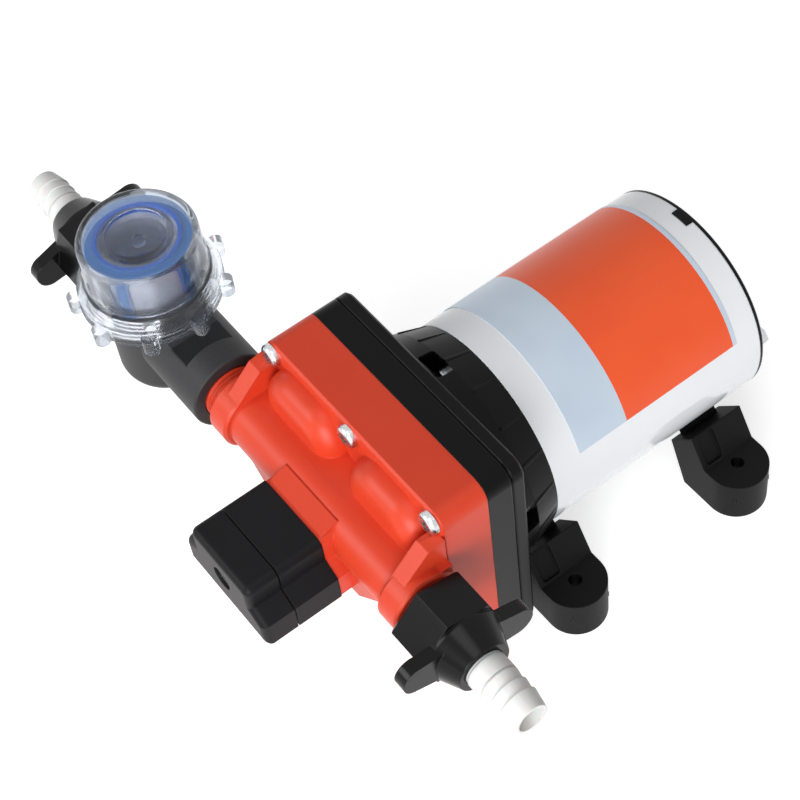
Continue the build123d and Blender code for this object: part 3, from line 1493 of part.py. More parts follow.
# Strainer body: cup, standpipe, socket tube for the pump's port and the inlet stub
with BuildPart() as strainer_body:
    with BuildSketch(port_at(socket_start)):
        Circle(socket_r)
    extrude(amount=socket_face - socket_start)
    tube_ends = strainer_body.faces().filter_by(Axis.X).sort_by(Axis.X)
    fillet(tube_ends[0].edges(), socket_edge)
    fillet(strainer_body.faces().sort_by(Axis.X)[-1].edges(), head_edge)
    # flat on the tube's top, where the bowl's knobs pass
    with BuildSketch(strainer_level(relief_up)):
        with Locations(((relief_end - strainer_x) / 2, 0)):
            Rectangle(relief_end - strainer_x, 2 * socket_r)
    extrude(amount=socket_r, mode=Mode.SUBTRACT)
    with BuildSketch(strainer_level(cup_bottom)):
        Circle(cup_r)
    extrude(amount=neck_bottom - cup_bottom)
    fillet(strainer_body.faces().sort_by(Axis.Z)[0].edges(), cup_edge)
    with BuildSketch(Plane(origin=(strainer_x, port_y, port_z), x_dir=(1, 0, 0), z_dir=(0, -1, 0))):
        Polygon(
            (0, neck_bottom - overrun),
            (cup_r, neck_bottom - overrun),
            (cup_r, neck_bottom),
            (neck_r, neck_bottom + neck_r - cup_r),
            (neck_r, neck_top),
            (0, neck_top),
        )
        for k in range(neck_threads):
            mid = neck_bottom + neck_r - cup_r + (k + neck_start_share) * neck_thread_pitch
            ring = thread_ring(mid, neck_thread_pitch, neck_r, neck_thread_r)
            Polygon(*[(r, up) for up, r in ring])
    revolve(axis=Axis((strainer_x, port_y, port_z), (0, 0, 1)), revolution_arc=360)
    # inlet stub with its collar and thread rings
    collar_x = inlet_nut_face + inlet_collar_end
    with BuildSketch(Plane(origin=(0, port_y, port_z), x_dir=(1, 0, 0), z_dir=(0, -1, 0))):
        Polygon(
            (strainer_x, 0),
            (strainer_x, inlet_tube_r),
            (collar_x, inlet_tube_r),
            (collar_x, stub_r),
            (inlet_stub_end, stub_r),
            (inlet_stub_end, 0),
        )
        for k in range(int((stub_end - nut_face) / thread_pitch)):
            start = inlet_nut_face - (k + 0.5) * thread_pitch
            Polygon(*thread_ring(start, thread_pitch, stub_r, thread_r))
    revolve(axis=Axis((0, port_y, port_z), (1, 0, 0)), revolution_arc=360)
    # water spaces: ring round the standpipe, the standpipe itself, the two ways in
    floor_up = cup_bottom + cup_floor_t
    with BuildSketch(strainer_level(floor_up)):
        Circle(cup_in_r)
        Circle(pipe_r, mode=Mode.SUBTRACT)
    extrude(amount=neck_top - floor_up + overrun, mode=Mode.SUBTRACT)
    with BuildSketch(strainer_level(pipe_top)):
        Circle(cup_in_r)
    extrude(amount=neck_top - pipe_top + overrun, mode=Mode.SUBTRACT)
    with BuildSketch(port_at(strainer_x + pipe_in_r)):
        Circle(sleeve_r)
    extrude(amount=cup_r - pipe_in_r)
    with BuildSketch(strainer_level(floor_up)):
        Circle(pipe_in_r)
    extrude(amount=neck_top - floor_up + overrun, mode=Mode.SUBTRACT)
    seal_seat_x = -stub_end - port_seal_t
    with BuildSketch(port_at(seal_seat_x)):
        Circle(thread_r + socket_bore_gap)
    extrude(amount=socket_face - seal_seat_x + overrun, mode=Mode.SUBTRACT)
    with BuildSketch(port_at(strainer_x)):
        Circle(port_bore_r)
    extrude(amount=seal_seat_x - strainer_x + overrun, mode=Mode.SUBTRACT)
    with BuildSketch(port_at(strainer_x - (pipe_r + cup_in_r) / 2, -1)):
        Circle(port_bore_r)
    extrude(amount=strainer_x - inlet_stub_end, mode=Mode.SUBTRACT)
strainer_body.part.label = "strainer_body"
export_step(strainer_body.part, "parts/strainer_body.step")

# Port seal: between the pump's inlet stub and the socket's shoulder
with BuildPart() as port_seal:
    with BuildSketch(port_at(-stub_end, -1)):
        Circle(barb_flange_r)
        Circle(washer_in_r, mode=Mode.SUBTRACT)
    extrude(amount=port_seal_t)
port_seal.part.label = "port_seal"
export_step(port_seal.part, "parts/port_seal.step")

# Strainer bowl: clear skirt, barrel, dished top and the knobs round the skirt
room_top = bowl_top - bowl_top_t
shoulder_up = neck_top + bowl_seal_t + seat_gap
skirt_in_r = neck_thread_r + skirt_wall_gap
with BuildPart() as strainer_bowl:
    with BuildSketch(Plane(origin=(strainer_x, port_y, port_z), x_dir=(1, 0, 0), z_dir=(0, -1, 0))):
        Polygon(
            (0, skirt_bottom),
            (skirt_r, skirt_bottom),
            (skirt_r, skirt_top),
            (bowl_r, shoulder_top),
            (bowl_top_r, bowl_top),
            (0, bowl_top),
        )
        ridge_pitch = (skirt_top - skirt_bottom) / (skirt_ridges + 1)
        for k in range(skirt_ridges):
            mid = skirt_bottom + (k + 1) * ridge_pitch
            Polygon(
                (skirt_r - skirt_ridge, mid - skirt_ridge),
                (skirt_r, mid - skirt_ridge),
                (skirt_r + skirt_ridge, mid),
                (skirt_r, mid + skirt_ridge),
                (skirt_r - skirt_ridge, mid + skirt_ridge),
            )
    revolve(axis=Axis((strainer_x, port_y, port_z), (0, 0, 1)), revolution_arc=360)
    fillet(strainer_bowl.faces().sort_by(Axis.Z)[-1].edges(), bowl_top_edge)
    # knobs round the skirt
    with BuildSketch(strainer_level(skirt_bottom)):
        with PolarLocations(skirt_r + knob_out, knob_count, start_angle=knob_turn):
            Circle(knob_r)
    extrude(amount=knob_h)
    # hollow with its shoulder, then the dish in the top with its nub
    with BuildSketch(strainer_level(skirt_bottom - overrun)):
        Circle(skirt_in_r)
    extrude(amount=shoulder_up - skirt_bottom + overrun, mode=Mode.SUBTRACT)
    with BuildSketch(strainer_level(shoulder_up - overrun)):
        Circle(bowl_in_r)
    extrude(amount=room_top - shoulder_up + overrun, mode=Mode.SUBTRACT)
    with BuildSketch(strainer_level(bowl_top - dish_d - bowl_top_t)):
        Circle(dish_r + bowl_top_t)
    extrude(amount=dish_d + bowl_top_t)
    with BuildSketch(strainer_level(bowl_top - dish_d)):
        Circle(dish_r)
    extrude(amount=dish_d + overrun, mode=Mode.SUBTRACT)
    with BuildSketch(strainer_level(bowl_top - dish_d)):
        Circle(dish_nub_r)
    extrude(amount=dish_nub_h)
strainer_bowl.part.label = "strainer_bowl"
export_step(strainer_bowl.part, "parts/strainer_bowl.step")

# Bowl seal: on the neck's top, under the bowl's shoulder
with BuildPart() as bowl_seal:
    with BuildSketch(strainer_level(neck_top)):
        Circle(neck_r)
        Circle(bowl_seal_in_r, mode=Mode.SUBTRACT)
    extrude(amount=bowl_seal_t)
bowl_seal.part.label = "bowl_seal"
export_step(bowl_seal.part, "parts/bowl_seal.step")

# Screen frame: low ring on the standpipe, top ring under the bowl, ribs between
frame_top = room_top - seat_gap
with BuildPart() as screen_frame:
    with BuildSketch(strainer_level(pipe_top)):
        Circle(frame_r)
        Circle(pipe_in_r, mode=Mode.SUBTRACT)
    extrude(amount=frame_low_t)
    with BuildSketch(strainer_level(frame_top - frame_top_t)):
        Circle(frame_r)
        Circle(frame_in_r, mode=Mode.SUBTRACT)
    extrude(amount=frame_top_t)
    with BuildSketch(strainer_level(frame_top - frame_flange_down - frame_flange_t)):
        Circle(bowl_in_r - seat_gap)
        Circle(frame_in_r, mode=Mode.SUBTRACT)
    extrude(amount=frame_flange_t)
    with BuildSketch(strainer_level(pipe_top + frame_low_t)):
        with PolarLocations(screen_r + frame_rib_t / 2, frame_ribs, start_angle=frame_turn):
            Rectangle(frame_rib_t, frame_rib_w)
    extrude(amount=frame_top - frame_top_t - pipe_top - frame_low_t)
screen_frame.part.label = "screen_frame"
export_step(screen_frame.part, "parts/screen_frame.step")

# Screen: a thin stainless cylinder inside the frame's ribs
with BuildPart() as screen_mesh:
    with BuildSketch(strainer_level(pipe_top + frame_low_t)):
        Circle(screen_r - fit_gap)
        Circle(screen_r - fit_gap - screen_t, mode=Mode.SUBTRACT)
    extrude(amount=frame_top - frame_top_t - pipe_top - frame_low_t)
screen_mesh.part.label = "screen_mesh"
export_step(screen_mesh.part, "parts/screen_mesh.step")

# Brackets: a saddle under the motor and an arm down to each foot
span = radians(bracket_half_span)
saddle_in = can_r
saddle_out = can_r + bracket_t
arm_top_x = saddle_in * sin(span)
arm_top_z = axis_z - saddle_in * cos(span)
arm_low_x = saddle_out * sin(span)
arm_low_z = axis_z - saddle_out * cos(span)
arm_end_x = foot_pitch_x / 2 + foot_r - bracket_end_gap
knee_low_z = bracket_up
knee_top_z = bracket_up + bracket_t
knee_top_x = bracket_knee_x + bracket_t / 2


def bracket_arm(side):
    """The section of one arm, from the saddle out to the foot, inside a sketch."""
    Polygon(
        (side * arm_low_x, arm_low_z),
        (side * bracket_knee_x, knee_low_z),
        (side * arm_end_x, knee_low_z),
        (side * arm_end_x, knee_top_z),
        (side * knee_top_x, knee_top_z),
        (side * arm_top_x, arm_top_z),
    )


def bracket(foot_y, saddle_y):
    """A bracket whose feet stand at foot_y and whose saddle starts at saddle_y."""
    arm_w = 2 * (foot_r - bracket_end_gap)
    with BuildPart() as piece:
        with BuildSketch(front_of(saddle_y)):
            with BuildLine():
                CenterArc((0, 0), saddle_in, 270 - bracket_half_span, 2 * bracket_half_span)
                CenterArc((0, 0), saddle_out, 270 - bracket_half_span, 2 * bracket_half_span)
                for way in (-1, 1):
                    Line(
                        (way * arm_top_x, arm_top_z - axis_z),
                        (way * arm_low_x, arm_low_z - axis_z),
                    )
            make_face()
        extrude(amount=-bracket_w)
        for way in (-1, 1):
            with BuildSketch(front_of(foot_y - arm_w / 2, z=0)):
                bracket_arm(way)
            extrude(amount=-arm_w)
        # room for the wider drive housing in front of the can
        with BuildSketch(front_of(can_y)):
            Circle(adapter_mid_r + rib_h + seat_gap)
        extrude(amount=adapter_len, mode=Mode.SUBTRACT)
        for way in (-1, 1):
            with BuildSketch(level(knee_low_z - overrun, x=way * foot_pitch_x / 2, y=foot_y)):
                Circle(foot_hole_r)
            extrude(amount=bracket_t + 2 * overrun, mode=Mode.SUBTRACT)
        for turn in (-rivet_turn, rivet_turn):
            rivet_plane = Plane(
                origin=(0, saddle_y + bracket_w / 2, axis_z),
                x_dir=(0, 1, 0),
                z_dir=(sin(radians(turn)), 0, -cos(radians(turn))),
            )
            with BuildSketch(rivet_plane.offset(can_r - overrun)):
                Circle(rivet_r + fit_gap)
            extrude(amount=bracket_t + 2 * overrun, mode=Mode.SUBTRACT)
    return piece


front_foot_y = -foot_pitch_y / 2
rear_foot_y = foot_pitch_y / 2
front_saddle_y = can_y + front_saddle_from
rear_saddle_y = rear_foot_y - bracket_w / 2

front_bracket = bracket(front_foot_y, front_saddle_y)
front_bracket.part.label = "front_bracket"
export_step(front_bracket.part, "parts/front_bracket.step")

rear_bracket = bracket(rear_foot_y, rear_saddle_y)
rear_bracket.part.label = "rear_bracket"
export_step(rear_bracket.part, "parts/rear_bracket.step")


def rubber_foot(side, foot_y):
    """A round foot with a sloping boot that hides the bracket's arm."""
    foot_x = foot_pitch_x / 2
    with BuildPart() as foot:
        with BuildSketch(level(0, x=side * foot_x, y=foot_y)):
            Circle(foot_r)
        extrude(amount=foot_h)
        with BuildSketch(front_of(foot_y - foot_r, z=0)):
            Polygon(
                (side * foot_x, 0),
                (side * foot_x, foot_h),
                (side * boot_slope_x, foot_h),
                (side * boot_high_x, boot_high_z),
                (side * boot_inner_x, boot_inner_z),
                (side * boot_low_x, boot_low_z),
            )
        extrude(amount=-2 * foot_r)
        # shallow channel down the slope, then the slot for the arm and the bolt hole
        slope_len = sqrt((boot_slope_x - boot_high_x) ** 2 + (boot_high_z - foot_h) ** 2)
        slope_x = side * (boot_slope_x + boot_high_x) / 2
        slope = Plane(
            origin=(slope_x, foot_y - foot_r / 2, (foot_h + boot_high_z) / 2),
            x_dir=(0, 1, 0),
            z_dir=(side * (boot_high_z - foot_h), 0, boot_slope_x - boot_high_x),
        )
        with BuildSketch(slope.offset(-boot_channel_d)):
            RectangleRounded(boot_channel_w, slope_len - boot_channel_d, boot_channel_d)
        extrude(amount=boot_channel_d + overrun, mode=Mode.SUBTRACT)
        arm_w = 2 * (foot_r - bracket_end_gap)
        with BuildSketch(front_of(foot_y - arm_w / 2, z=0)):
            bracket_arm(side)
        extrude(amount=-arm_w, mode=Mode.SUBTRACT)
        with BuildSketch(level(-overrun, x=side * foot_x, y=foot_y)):
            Circle(foot_hole_r)
        extrude(amount=foot_h + 2 * overrun, mode=Mode.SUBTRACT)
    return foot


# Rubber feet: a pair in front and a pair behind
front_left = rubber_foot(-1, front_foot_y)
front_right = rubber_foot(1, front_foot_y)
with BuildPart() as front_feet:
    add(front_left.part)
    add(front_right.part)
front_feet.part.label = "front_feet"
export_step(front_feet.part, "parts/front_feet.step")

rear_left = rubber_foot(-1, rear_foot_y)
rear_right = rubber_foot(1, rear_foot_y)
with BuildPart() as rear_feet:
    add(rear_left.part)
    add(rear_right.part)
rear_feet.part.label = "rear_feet"
export_step(rear_feet.part, "parts/rear_feet.step")

# Bracket rivets: through the saddles into the can
with BuildPart() as bracket_rivets:
    for station in (front_saddle_y + bracket_w / 2, rear_saddle_y + bracket_w / 2):
        for turn in (-rivet_turn, rivet_turn):
            rivet_plane = Plane(
                origin=(0, station, axis_z),
                x_dir=(0, 1, 0),
                z_dir=(sin(radians(turn)), 0, -cos(radians(turn))),
            )
            with BuildSketch(rivet_plane.offset(inner_r)):
                Circle(rivet_r)
            extrude(amount=can_t + bracket_t)
            with BuildSketch(rivet_plane.offset(saddle_out)):
                Circle(rivet_head_r)
            extrude(amount=rivet_head_t)
bracket_rivets.part.label = "bracket_rivets"
export_step(bracket_rivets.part, "parts/bracket_rivets.step")
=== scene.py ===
import math

import bpy
import numpy as np
from mathutils import Matrix, Vector

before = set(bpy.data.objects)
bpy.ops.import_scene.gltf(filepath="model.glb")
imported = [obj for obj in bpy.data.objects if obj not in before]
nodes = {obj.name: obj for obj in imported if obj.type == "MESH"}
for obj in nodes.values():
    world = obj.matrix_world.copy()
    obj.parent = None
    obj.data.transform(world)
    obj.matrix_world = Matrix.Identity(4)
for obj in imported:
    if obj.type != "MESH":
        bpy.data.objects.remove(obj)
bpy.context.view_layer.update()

# The motor can is a drawn steel tube, notched at its rear for the end cap's key. It is sprayed
# with white enamel, which sets hard and glossy with the faintest orange peel.


def shade(red, green, blue):
    """A colour seen on screen, 0 to 255, as the linear colour a shader takes."""
    seen = np.array([red, green, blue]) / 255.0
    linear = np.where(seen <= 0.04045, seen / 12.92, ((seen + 0.055) / 1.055) ** 2.4)
    return (*linear.tolist(), 1.0)


class Amount:
    """A socket with a value in it; + - * > < between amounts add their Math node."""

    def __init__(self, shading, socket):
        self.shading, self.socket = shading, socket

    def __add__(self, other):
        return self.shading.maths("ADD", self, other)

    def __mul__(self, other):
        return self.shading.maths("MULTIPLY", self, other)

    def __sub__(self, other):
        return self.shading.maths("SUBTRACT", self, other)

    def __rsub__(self, other):
        return self.shading.maths("SUBTRACT", other, self)

    def __gt__(self, other):
        return self.shading.maths("GREATER_THAN", self, other)

    def __lt__(self, other):
        return self.shading.maths("LESS_THAN", self, other)


class Outlets:
    """The outputs of a node, by name or number, each as an Amount."""

    def __init__(self, shading, made):
        self.shading, self.made = shading, made

    def __getitem__(self, name):
        return Amount(self.shading, self.made.outputs[name])


class Shading:
    """A node tree being filled, with one way to add any node."""

    def __init__(self, tree):
        self.tree = tree

    def node(self, kind, settings=(), sockets=()):
        """Adds one node: its settings first, then the values or links of its sockets."""
        made = self.tree.nodes.new(kind)
        for name, value in dict(settings).items():
            setattr(made, name, value)
        for name, value in dict(sockets).items():
            self.feed(made.inputs[name], value)
        return Outlets(self, made)

    def feed(self, socket, value):
        """Puts a number, colour or link into a socket."""
        if isinstance(value, Amount):
            self.tree.links.new(value.socket, socket)
        else:
            socket.default_value = value

    def maths(self, operation, *values):
        """A Math node on numbers and amounts."""
        return self.node("ShaderNodeMath", {"operation": operation}, dict(enumerate(values)))[0]


class Finish(Shading):
    """A material being mixed round its Principled shader."""

    def __init__(self, name, **surface):
        self.material = bpy.data.materials.new(name)
        self.material.use_nodes = True
        super().__init__(self.material.node_tree)
        self.shader = self.tree.nodes["Principled BSDF"]
        self.place = self.node("ShaderNodeTexCoord")["Object"]
        self.set(**surface)

    def set(self, **surface):
        """Sets the shader's sockets by name, with _ for a space."""
        for name, value in surface.items():
            self.feed(self.shader.inputs[name.replace("_", " ")], value)

    def split(self):
        """The place's X, Y and Z as three amounts."""
        parts = self.node("ShaderNodeSeparateXYZ", {}, {"Vector": self.place})
        return parts["X"], parts["Y"], parts["Z"]

    def speckle(self, size, detail=2.0):
        """Soft noise between 0 and 1 whose blots are about size metres across."""
        sockets = {"Vector": self.place, "Scale": 1 / size, "Detail": detail}
        return self.node("ShaderNodeTexNoise", {}, sockets)["Fac"]

    def blend(self, mask, low, high):
        """A colour that goes from low to high as the mask goes from 0 to 1."""
        factor, first, second, colour_out = 0, 6, 7, 2
        sockets = {factor: mask, first: low, second: high}
        return self.node("ShaderNodeMix", {"data_type": "RGBA"}, sockets)[colour_out]

    def bump(self, height, depth, **onto):
        """Feeds the normal from a height between 0 and 1 that stands for depth metres."""
        sockets = {"Height": height, "Distance": depth, **onto}
        self.set(Normal=self.node("ShaderNodeBump", {}, sockets)["Normal"])

    def on(self, *names):
        """Gives this finish to CAD nodes."""
        for name in names:
            mesh = nodes[name].data
            mesh.materials.clear()
            mesh.materials.append(self.material)


def moulded(name, colour, pale, roughness, grain=0.00035, depth=0.000012, coat=0.0, shine=0.12):
    """Moulded or sprayed: the colour drifts over centimetres, the grain is fine, edges are broken."""
    patch_size, patch_share = 0.018, 0.35
    grain_detail, grain_roughness = 3.0, 0.12
    coat_roughness = 0.12
    edge_radius, edge_rays = 0.0006, 4
    finish = Finish(name, Coat_Weight=coat, Coat_Roughness=coat_roughness, Specular_IOR_Level=shine)
    patches = finish.speckle(patch_size)
    fine = finish.speckle(grain, grain_detail)
    finish.set(Base_Color=finish.blend(patches * patch_share, colour, pale))
    finish.set(Roughness=fine * grain_roughness + (roughness - grain_roughness / 2))
    edges = finish.node("ShaderNodeBevel", {"samples": edge_rays}, {"Radius": edge_radius})
    finish.bump(fine, depth, Normal=edges["Normal"])
    return finish


white_enamel = moulded(
    "white enamel", shade(232, 234, 238), shade(240, 241, 244), roughness=0.16,
    grain=0.0012, depth=0.000008, coat=0.5,
)
white_enamel.on("motor_can")

# Two curved magnets are glued to the can's inside, above and below the armature. They are
# pressed and fired ferrite, which is dull, dark grey and slightly gritty.
ferrite = moulded(
    "ferrite", shade(48, 48, 50), shade(66, 66, 69), roughness=0.7, grain=0.0006, depth=0.00003,
)
ferrite.on("motor_magnets")

# The armature is a stack of thin punched steel plates pressed on a ground shaft. Its slots are
# wound with enamelled copper wire, whose ends are soldered to the copper commutator.
dark_steel = Finish("laminated steel", Metallic=0.9, Roughness=0.4)
plate_pitch = 0.001
core_y = dark_steel.split()[1]
plate_edges = dark_steel.maths("SINE", core_y * (2 * math.pi / plate_pitch)) * 0.5 + 0.5
dark_steel.set(Base_Color=dark_steel.blend(plate_edges, shade(70, 70, 74), shade(120, 120, 124)))
dark_steel.on("armature_core")
copper = Finish("copper", Metallic=1.0, Roughness=0.34)
strands_along, strands_across = 9000, 4000  # radians of wire pattern per metre
wire_x, wire_y = copper.split()[:2]
wires = copper.maths("SINE", wire_y * strands_along + wire_x * strands_across) * 0.5 + 0.5
copper.set(Base_Color=copper.blend(wires, shade(150, 74, 40), shade(206, 122, 76)))
copper.on("windings", "commutator")
bright_zinc = Finish("bright zinc", Metallic=1.0)
turning_marks = bright_zinc.speckle(0.0004)
zinc_low, zinc_high = shade(186, 187, 190), shade(224, 225, 228)
zinc_polish, zinc_marks = 0.16, 0.2
bright_zinc.set(Base_Color=bright_zinc.blend(turning_marks, zinc_low, zinc_high))
bright_zinc.set(Roughness=turning_marks * zinc_marks + zinc_polish)
bright_zinc.on("motor_shaft")

# The shaft runs in two oil-soaked sintered bronze bushings. The front one is pressed into a
# zinc-plated steel plate that closes the can, the rear one into the end cap.
bright_zinc.on("front_plate")
copper.on("front_bushing", "rear_bushing")

# The brush plate is a disc of moulded black nylon inside the end cap. It holds two blocks of
# pressed carbon in box-shaped guides, each with a coiled steel spring behind it.
black_matte = moulded("black nylon", shade(7, 7, 8), shade(16, 16, 17), roughness=0.3)
black_matte.on("brush_plate")
ferrite.on("brushes")
bright_zinc.on("brush_springs")

# The end cap is gloss black nylon, keyed into a notch of the can at the top. The wires leave it
# through a soft rubber gland that is pushed into its hole.
cap_black = moulded("end cap", shade(6, 6, 7), shade(14, 14, 15), roughness=0.28)
cap_black.on("end_cap")
rubber = moulded(
    "black rubber", shade(9, 9, 10), shade(21, 21, 22), roughness=0.5, grain=0.0008, depth=0.00004,
)
rubber.on("cable_grommet")

# Two long zinc-plated bolts run through the can, past the magnets. Their hex heads pull on the
# end cap, and their nuts lie in the drive housing's side pockets.
bright_zinc.on("through_bolts", "bolt_nuts")

# The label is a thin metallised film stuck round the can. It is silver at the front, with one
# plain printed field of orange behind, and a clear varnish over both.
label_film = Finish("label film", Coat_Weight=0.12, Coat_Roughness=0.15, Roughness=0.42)
orange_front, orange_rear = -0.0033, 0.0417
silver_metal = 0.3
label_y = label_film.split()[1]
printed = (label_y > orange_front) * (label_y < orange_rear)
clouds = label_film.speckle(0.02, detail=1.0)
silver = label_film.blend(clouds, shade(176, 192, 210), shade(206, 217, 228))
ink = label_film.blend(clouds, shade(230, 74, 20), shade(240, 92, 36))
label_film.set(Base_Color=label_film.blend(printed, silver, ink))
label_film.set(Metallic=silver_metal - printed * silver_metal)
label_film.on("motor_label")

# The drive housing is moulded in black nylon, with a ribbed adapter that meets the can. Two
# zinc-plated screws in its top and bottom pockets fix it to the motor's front plate.
black_matte.on("drive_housing")
bright_zinc.on("adapter_screws")

# A steel cam with its counterweight is pressed on the shaft. A ball bearing on the cam carries
# the three-armed wobble plate of white nylon, which rocks but doesn't turn.
dark_steel.on("cam")
bright_zinc.on("cam_bearing")
white_nylon = moulded("white nylon", shade(232, 232, 230), shade(242, 242, 241), roughness=0.36)
white_nylon.set(Subsurface_Weight=0.15, Subsurface_Scale=0.003)
white_nylon.on("wobble_plate")

# The diaphragm is a disc of black rubber with a crown over each of three white nylon pistons. A
# small plated screw clamps each crown and its piston to the wobble plate.
white_nylon.on("pistons")
bright_zinc.on("piston_screws")
rubber.on("diaphragm")

# The valve housing is a plate of gloss black nylon in front of the diaphragm. It carries three
# umbrella valves and one outlet valve of soft rubber, and a rubber ring lies in its groove.
black_gloss = moulded("gloss black plate", shade(5, 5, 6), shade(12, 12, 13), roughness=0.2)
black_gloss.on("valve_housing")
rubber.on("inlet_valves", "outlet_valve", "head_seal")

# The upper housing is one moulding of orange-red nylon with a soft shine and a fine tool grain.
# Its domes and cross tube hold the valve rooms and both ports.
orange_nylon = moulded(
    "orange nylon", shade(208, 60, 33), shade(228, 84, 54), roughness=0.38, shine=0.3,
)
orange_nylon.on("upper_housing")

# Six zinc-plated pan-head screws pull the three housings together. They go in from the front,
# three along the top and three along the bottom.
bright_zinc.on("head_screws")

# The pressure switch's rear half is held to the housing's boss by two plated screws, and its
# front half closes it. Both are dull, slightly rubbery black plastic with a coarser grain.
switch_black = moulded(
    "switch housing", shade(15, 15, 17), shade(34, 34, 37), roughness=0.42,
    grain=0.0006, depth=0.00003,
)
switch_black.on("switch_boot", "switch_cap")
bright_zinc.on("switch_screws")
rubber.on("switch_grommet")

# Inside the switch a rubber diaphragm pushes a white nylon plunger against a steel spring, and
# an adjusting screw sets the spring. The plunger's foot works a small black micro switch.
rubber.on("switch_diaphragm")
white_nylon.on("switch_plunger")
bright_zinc.on("adjusting_screw", "spring_seat", "switch_spring")
nut_black = moulded(
    "wing nut nylon", shade(6, 6, 7), shade(13, 13, 14), roughness=0.2, shine=0.18,
)
nut_black.on("microswitch")
copper.on("switch_terminals")

# Two brackets carry the pump: a saddle under the motor and an arm down to each foot, painted
# satin black and riveted to the can. The four feet are black rubber with a dusty, matt skin.
black_matte.on("front_bracket", "rear_bracket")
bright_zinc.on("bracket_rivets")
rubber.on("front_feet", "rear_feet")

# The strainer's body is grey-black glass-filled nylon, whose coarse grain glitters a little. A
# small patch on top of its socket tube is coloured near black. A rubber ring in the socket seals the
# port.
strainer_grey = Finish("strainer nylon", Specular_IOR_Level=0.3)
dark_patch_low, dark_patch_top, dark_patch_left, dark_patch_right = 0.0790, 0.0797, -0.0735, -0.0640
coarse_size, coarse_depth = 0.00055, 0.00005
dull, dull_spread = 0.42, 0.2
coarse = strainer_grey.speckle(coarse_size, detail=4.0)
body_x, _, body_z = strainer_grey.split()
dark_patch = (body_z > dark_patch_low) * (body_z < dark_patch_top) * (body_x > dark_patch_left) * (body_x < dark_patch_right)
body_grey = strainer_grey.blend(coarse, shade(22, 22, 23), shade(56, 56, 58))
strainer_grey.set(Base_Color=strainer_grey.blend(dark_patch, body_grey, shade(12, 12, 13)))
strainer_grey.set(Roughness=coarse * dull_spread + dull)
strainer_grey.bump(coarse, coarse_depth)
strainer_grey.on("strainer_body")
rubber.on("port_seal")

# The screen is fine stainless wire cloth rolled into a cylinder. A moulded frame of blue nylon
# holds it by ribs between two rings, the upper one with a greyer rim, and stands in the body.
screen_steel = Finish("screen steel", Metallic=0.35, Roughness=0.42)
strainer_x, strainer_y = -0.0984, -0.0933
cloth_r, weave, hole_start = 0.0137, 7800, 0.25  # weave in radians per metre
cloth_x, cloth_y, cloth_z = screen_steel.split()
round_axis = screen_steel.maths("ARCTAN2", cloth_y - strainer_y, cloth_x - strainer_x)
upright_wires = screen_steel.maths("SINE", round_axis * (cloth_r * weave))
level_wires = screen_steel.maths("SINE", cloth_z * weave)
holes = (upright_wires * level_wires) > hole_start
screen_steel.set(Base_Color=screen_steel.blend(holes, shade(178, 176, 182), shade(84, 80, 88)))
screen_steel.on("screen_mesh")
blue_nylon = moulded("blue screen frame", shade(0, 64, 124), shade(4, 72, 134), roughness=0.3)
rim_r = 0.0146
ring_x, ring_y = blue_nylon.split()[:2]
off_x, off_y = ring_x - strainer_x, ring_y - strainer_y
rim = (off_x * off_x + off_y * off_y) > rim_r**2
blue_nylon.set(Base_Color=blue_nylon.blend(rim, shade(0, 62, 134), shade(38, 78, 120)))
blue_nylon.on("screen_frame")

# The bowl is moulded from clear polycarbonate, a touch blue, with a dished top and a ring of
# knobs to turn it by. It screws down on a rubber ring, and light falls through it.
clear_bowl = Finish(
    "clear bowl", Base_Color=(0.9, 0.95, 1.0, 1), Roughness=0.018, IOR=1.4, Transmission_Weight=1.0,
)
thin_share = 0.25
glass = Amount(clear_bowl, clear_bowl.shader.outputs["BSDF"])
tint = (0.92, 0.95, 1.0, 1)
let_through = clear_bowl.node("ShaderNodeBsdfTransparent", {}, {"Color": tint})["BSDF"]
shadow_ray = clear_bowl.node("ShaderNodeLightPath")["Is Shadow Ray"]
straight = shadow_ray * (1 - thin_share) + thin_share
mixed = clear_bowl.node("ShaderNodeMixShader", {}, {0: straight, 1: glass, 2: let_through})[0]
clear_bowl.feed(clear_bowl.tree.nodes["Material Output"].inputs["Surface"], mixed)
clear_bowl.on("strainer_bowl")
rubber.on("bowl_seal")

# The hose tails are natural white nylon that light enters a little. Each has a rubber washer at
# its foot and is held on its port by a loose wing nut of gloss black nylon.
white_nylon.on("outlet_barb", "inlet_barb")
rubber.on("outlet_washer", "inlet_washer")
nut_black.on("outlet_nut", "inlet_nut")

# The floor is a wide sheet of white paper. It glows only for the rays that look at it, so that
# it is white in every view and mirror, puts no light on the object and keeps its shadow.


def looking_rays(shading):
    """1 for camera, mirror and clear rays, 0 for the rays that gather light."""
    ray = shading.node("ShaderNodeLightPath")
    watched = shading.maths("MAXIMUM", ray["Is Camera Ray"], ray["Is Glossy Ray"])
    return shading.maths("MAXIMUM", watched, ray["Is Transmission Ray"])


reach = 6.0
corners = [(-reach, -reach, 0), (reach, -reach, 0), (reach, reach, 0), (-reach, reach, 0)]
floor_mesh = bpy.data.meshes.new("floor")
floor_mesh.from_pydata(corners, [], [(0, 1, 2, 3)])
floor = bpy.data.objects.new("floor", floor_mesh)
bpy.context.scene.collection.objects.link(floor)
sheet, glow_near, glow_far = ((grey, grey, grey, 1) for grey in (0.86, 0.62, 0.95))
near_squared, far_squared = 0.3, 2.5  # square metres, from the origin
paper = Finish("paper floor", Base_Color=sheet, Roughness=0.9, Specular_IOR_Level=0.0)
floor_x, floor_y = paper.split()[:2]
apart = floor_x * floor_x + floor_y * floor_y
away = paper.node(
    "ShaderNodeMapRange", {}, {"Value": apart, "From Min": near_squared, "From Max": far_squared},
)["Result"]
paper.set(Emission_Color=paper.blend(away, glow_near, glow_far))
paper.set(Emission_Strength=looking_rays(paper))
floor_mesh.materials.append(paper.material)

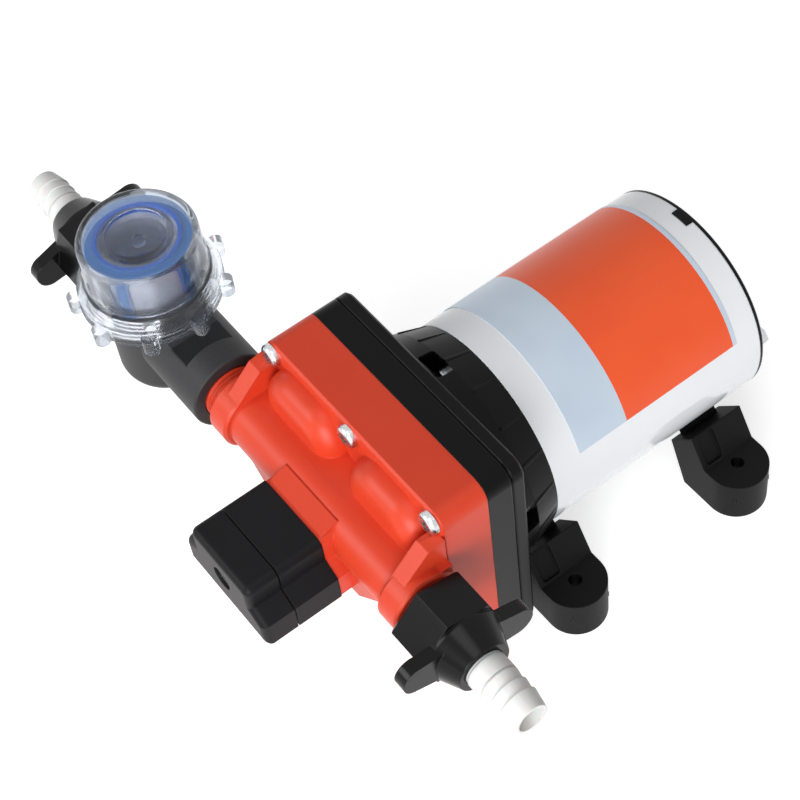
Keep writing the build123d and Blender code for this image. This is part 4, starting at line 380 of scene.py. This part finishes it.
# The room round it is white to look at, in the same way, and gives only a weak even fill, so
# that shadows stay open.
fill = 0.2
world = bpy.data.worlds.new("studio")
bpy.context.scene.world = world
world.use_nodes = True
room = Shading(world.node_tree)
background = world.node_tree.nodes["Background"]
room.feed(background.inputs["Color"], (1, 1, 1, 1))
room.feed(background.inputs["Strength"], looking_rays(room) * (1 - fill) + fill)

# Three round soft boxes light it: a strong low one on the outlet side, a weak one overhead and
# one from the front. Each has its place, its width in metres and its power in watts.
middle = Vector((-0.02, -0.02, 0.04))
for name, spot, width, power in (
    ("key", (1.3, -1.3, 0.62), 1.3, 32.0),
    ("top", (0.5, -0.3, 1.7), 1.0, 5.0),
    ("front", (-0.6, -1.3, 0.9), 0.9, 10.0),
):
    lamp = bpy.data.lights.new(name, "AREA")
    lamp.shape, lamp.size, lamp.energy = "DISK", width, power
    light = bpy.data.objects.new(name, lamp)
    light.location = spot
    light.rotation_mode = "QUATERNION"
    light.rotation_quaternion = (middle - Vector(spot)).to_track_quat("-Z", "Y")
    bpy.context.scene.collection.objects.link(light)

# The camera stands high on the outlet side, tipped a little, with a long lens. Azimuth turns
# from the front towards the outlet, and back points from the aim to the camera.
azimuth, elevation, roll = math.radians(60.096), math.radians(53.607), math.radians(-8.845)
aim, distance = Vector((-0.027293, -0.04745, 0.05)), 0.662951
level = Vector((math.sin(azimuth), -math.cos(azimuth), 0))
back = math.cos(elevation) * level + math.sin(elevation) * Vector((0, 0, 1))
right = Vector((math.cos(azimuth), math.sin(azimuth), 0))
up = back.cross(right)
across = math.cos(roll) * right + math.sin(roll) * up
upward = -math.sin(roll) * right + math.cos(roll) * up
eye = bpy.data.cameras.new("camera")
eye.lens, eye.sensor_width = 90.0, 36.0
eye.clip_start, eye.clip_end = 0.01, 50.0
camera = bpy.data.objects.new("camera", eye)
turn = Matrix((across, upward, back)).transposed()
camera.matrix_world = Matrix.Translation(aim + back * distance) @ turn.to_4x4()
bpy.context.scene.collection.objects.link(camera)
bpy.context.scene.camera = camera
bpy.context.scene.view_settings.view_transform = "Standard"
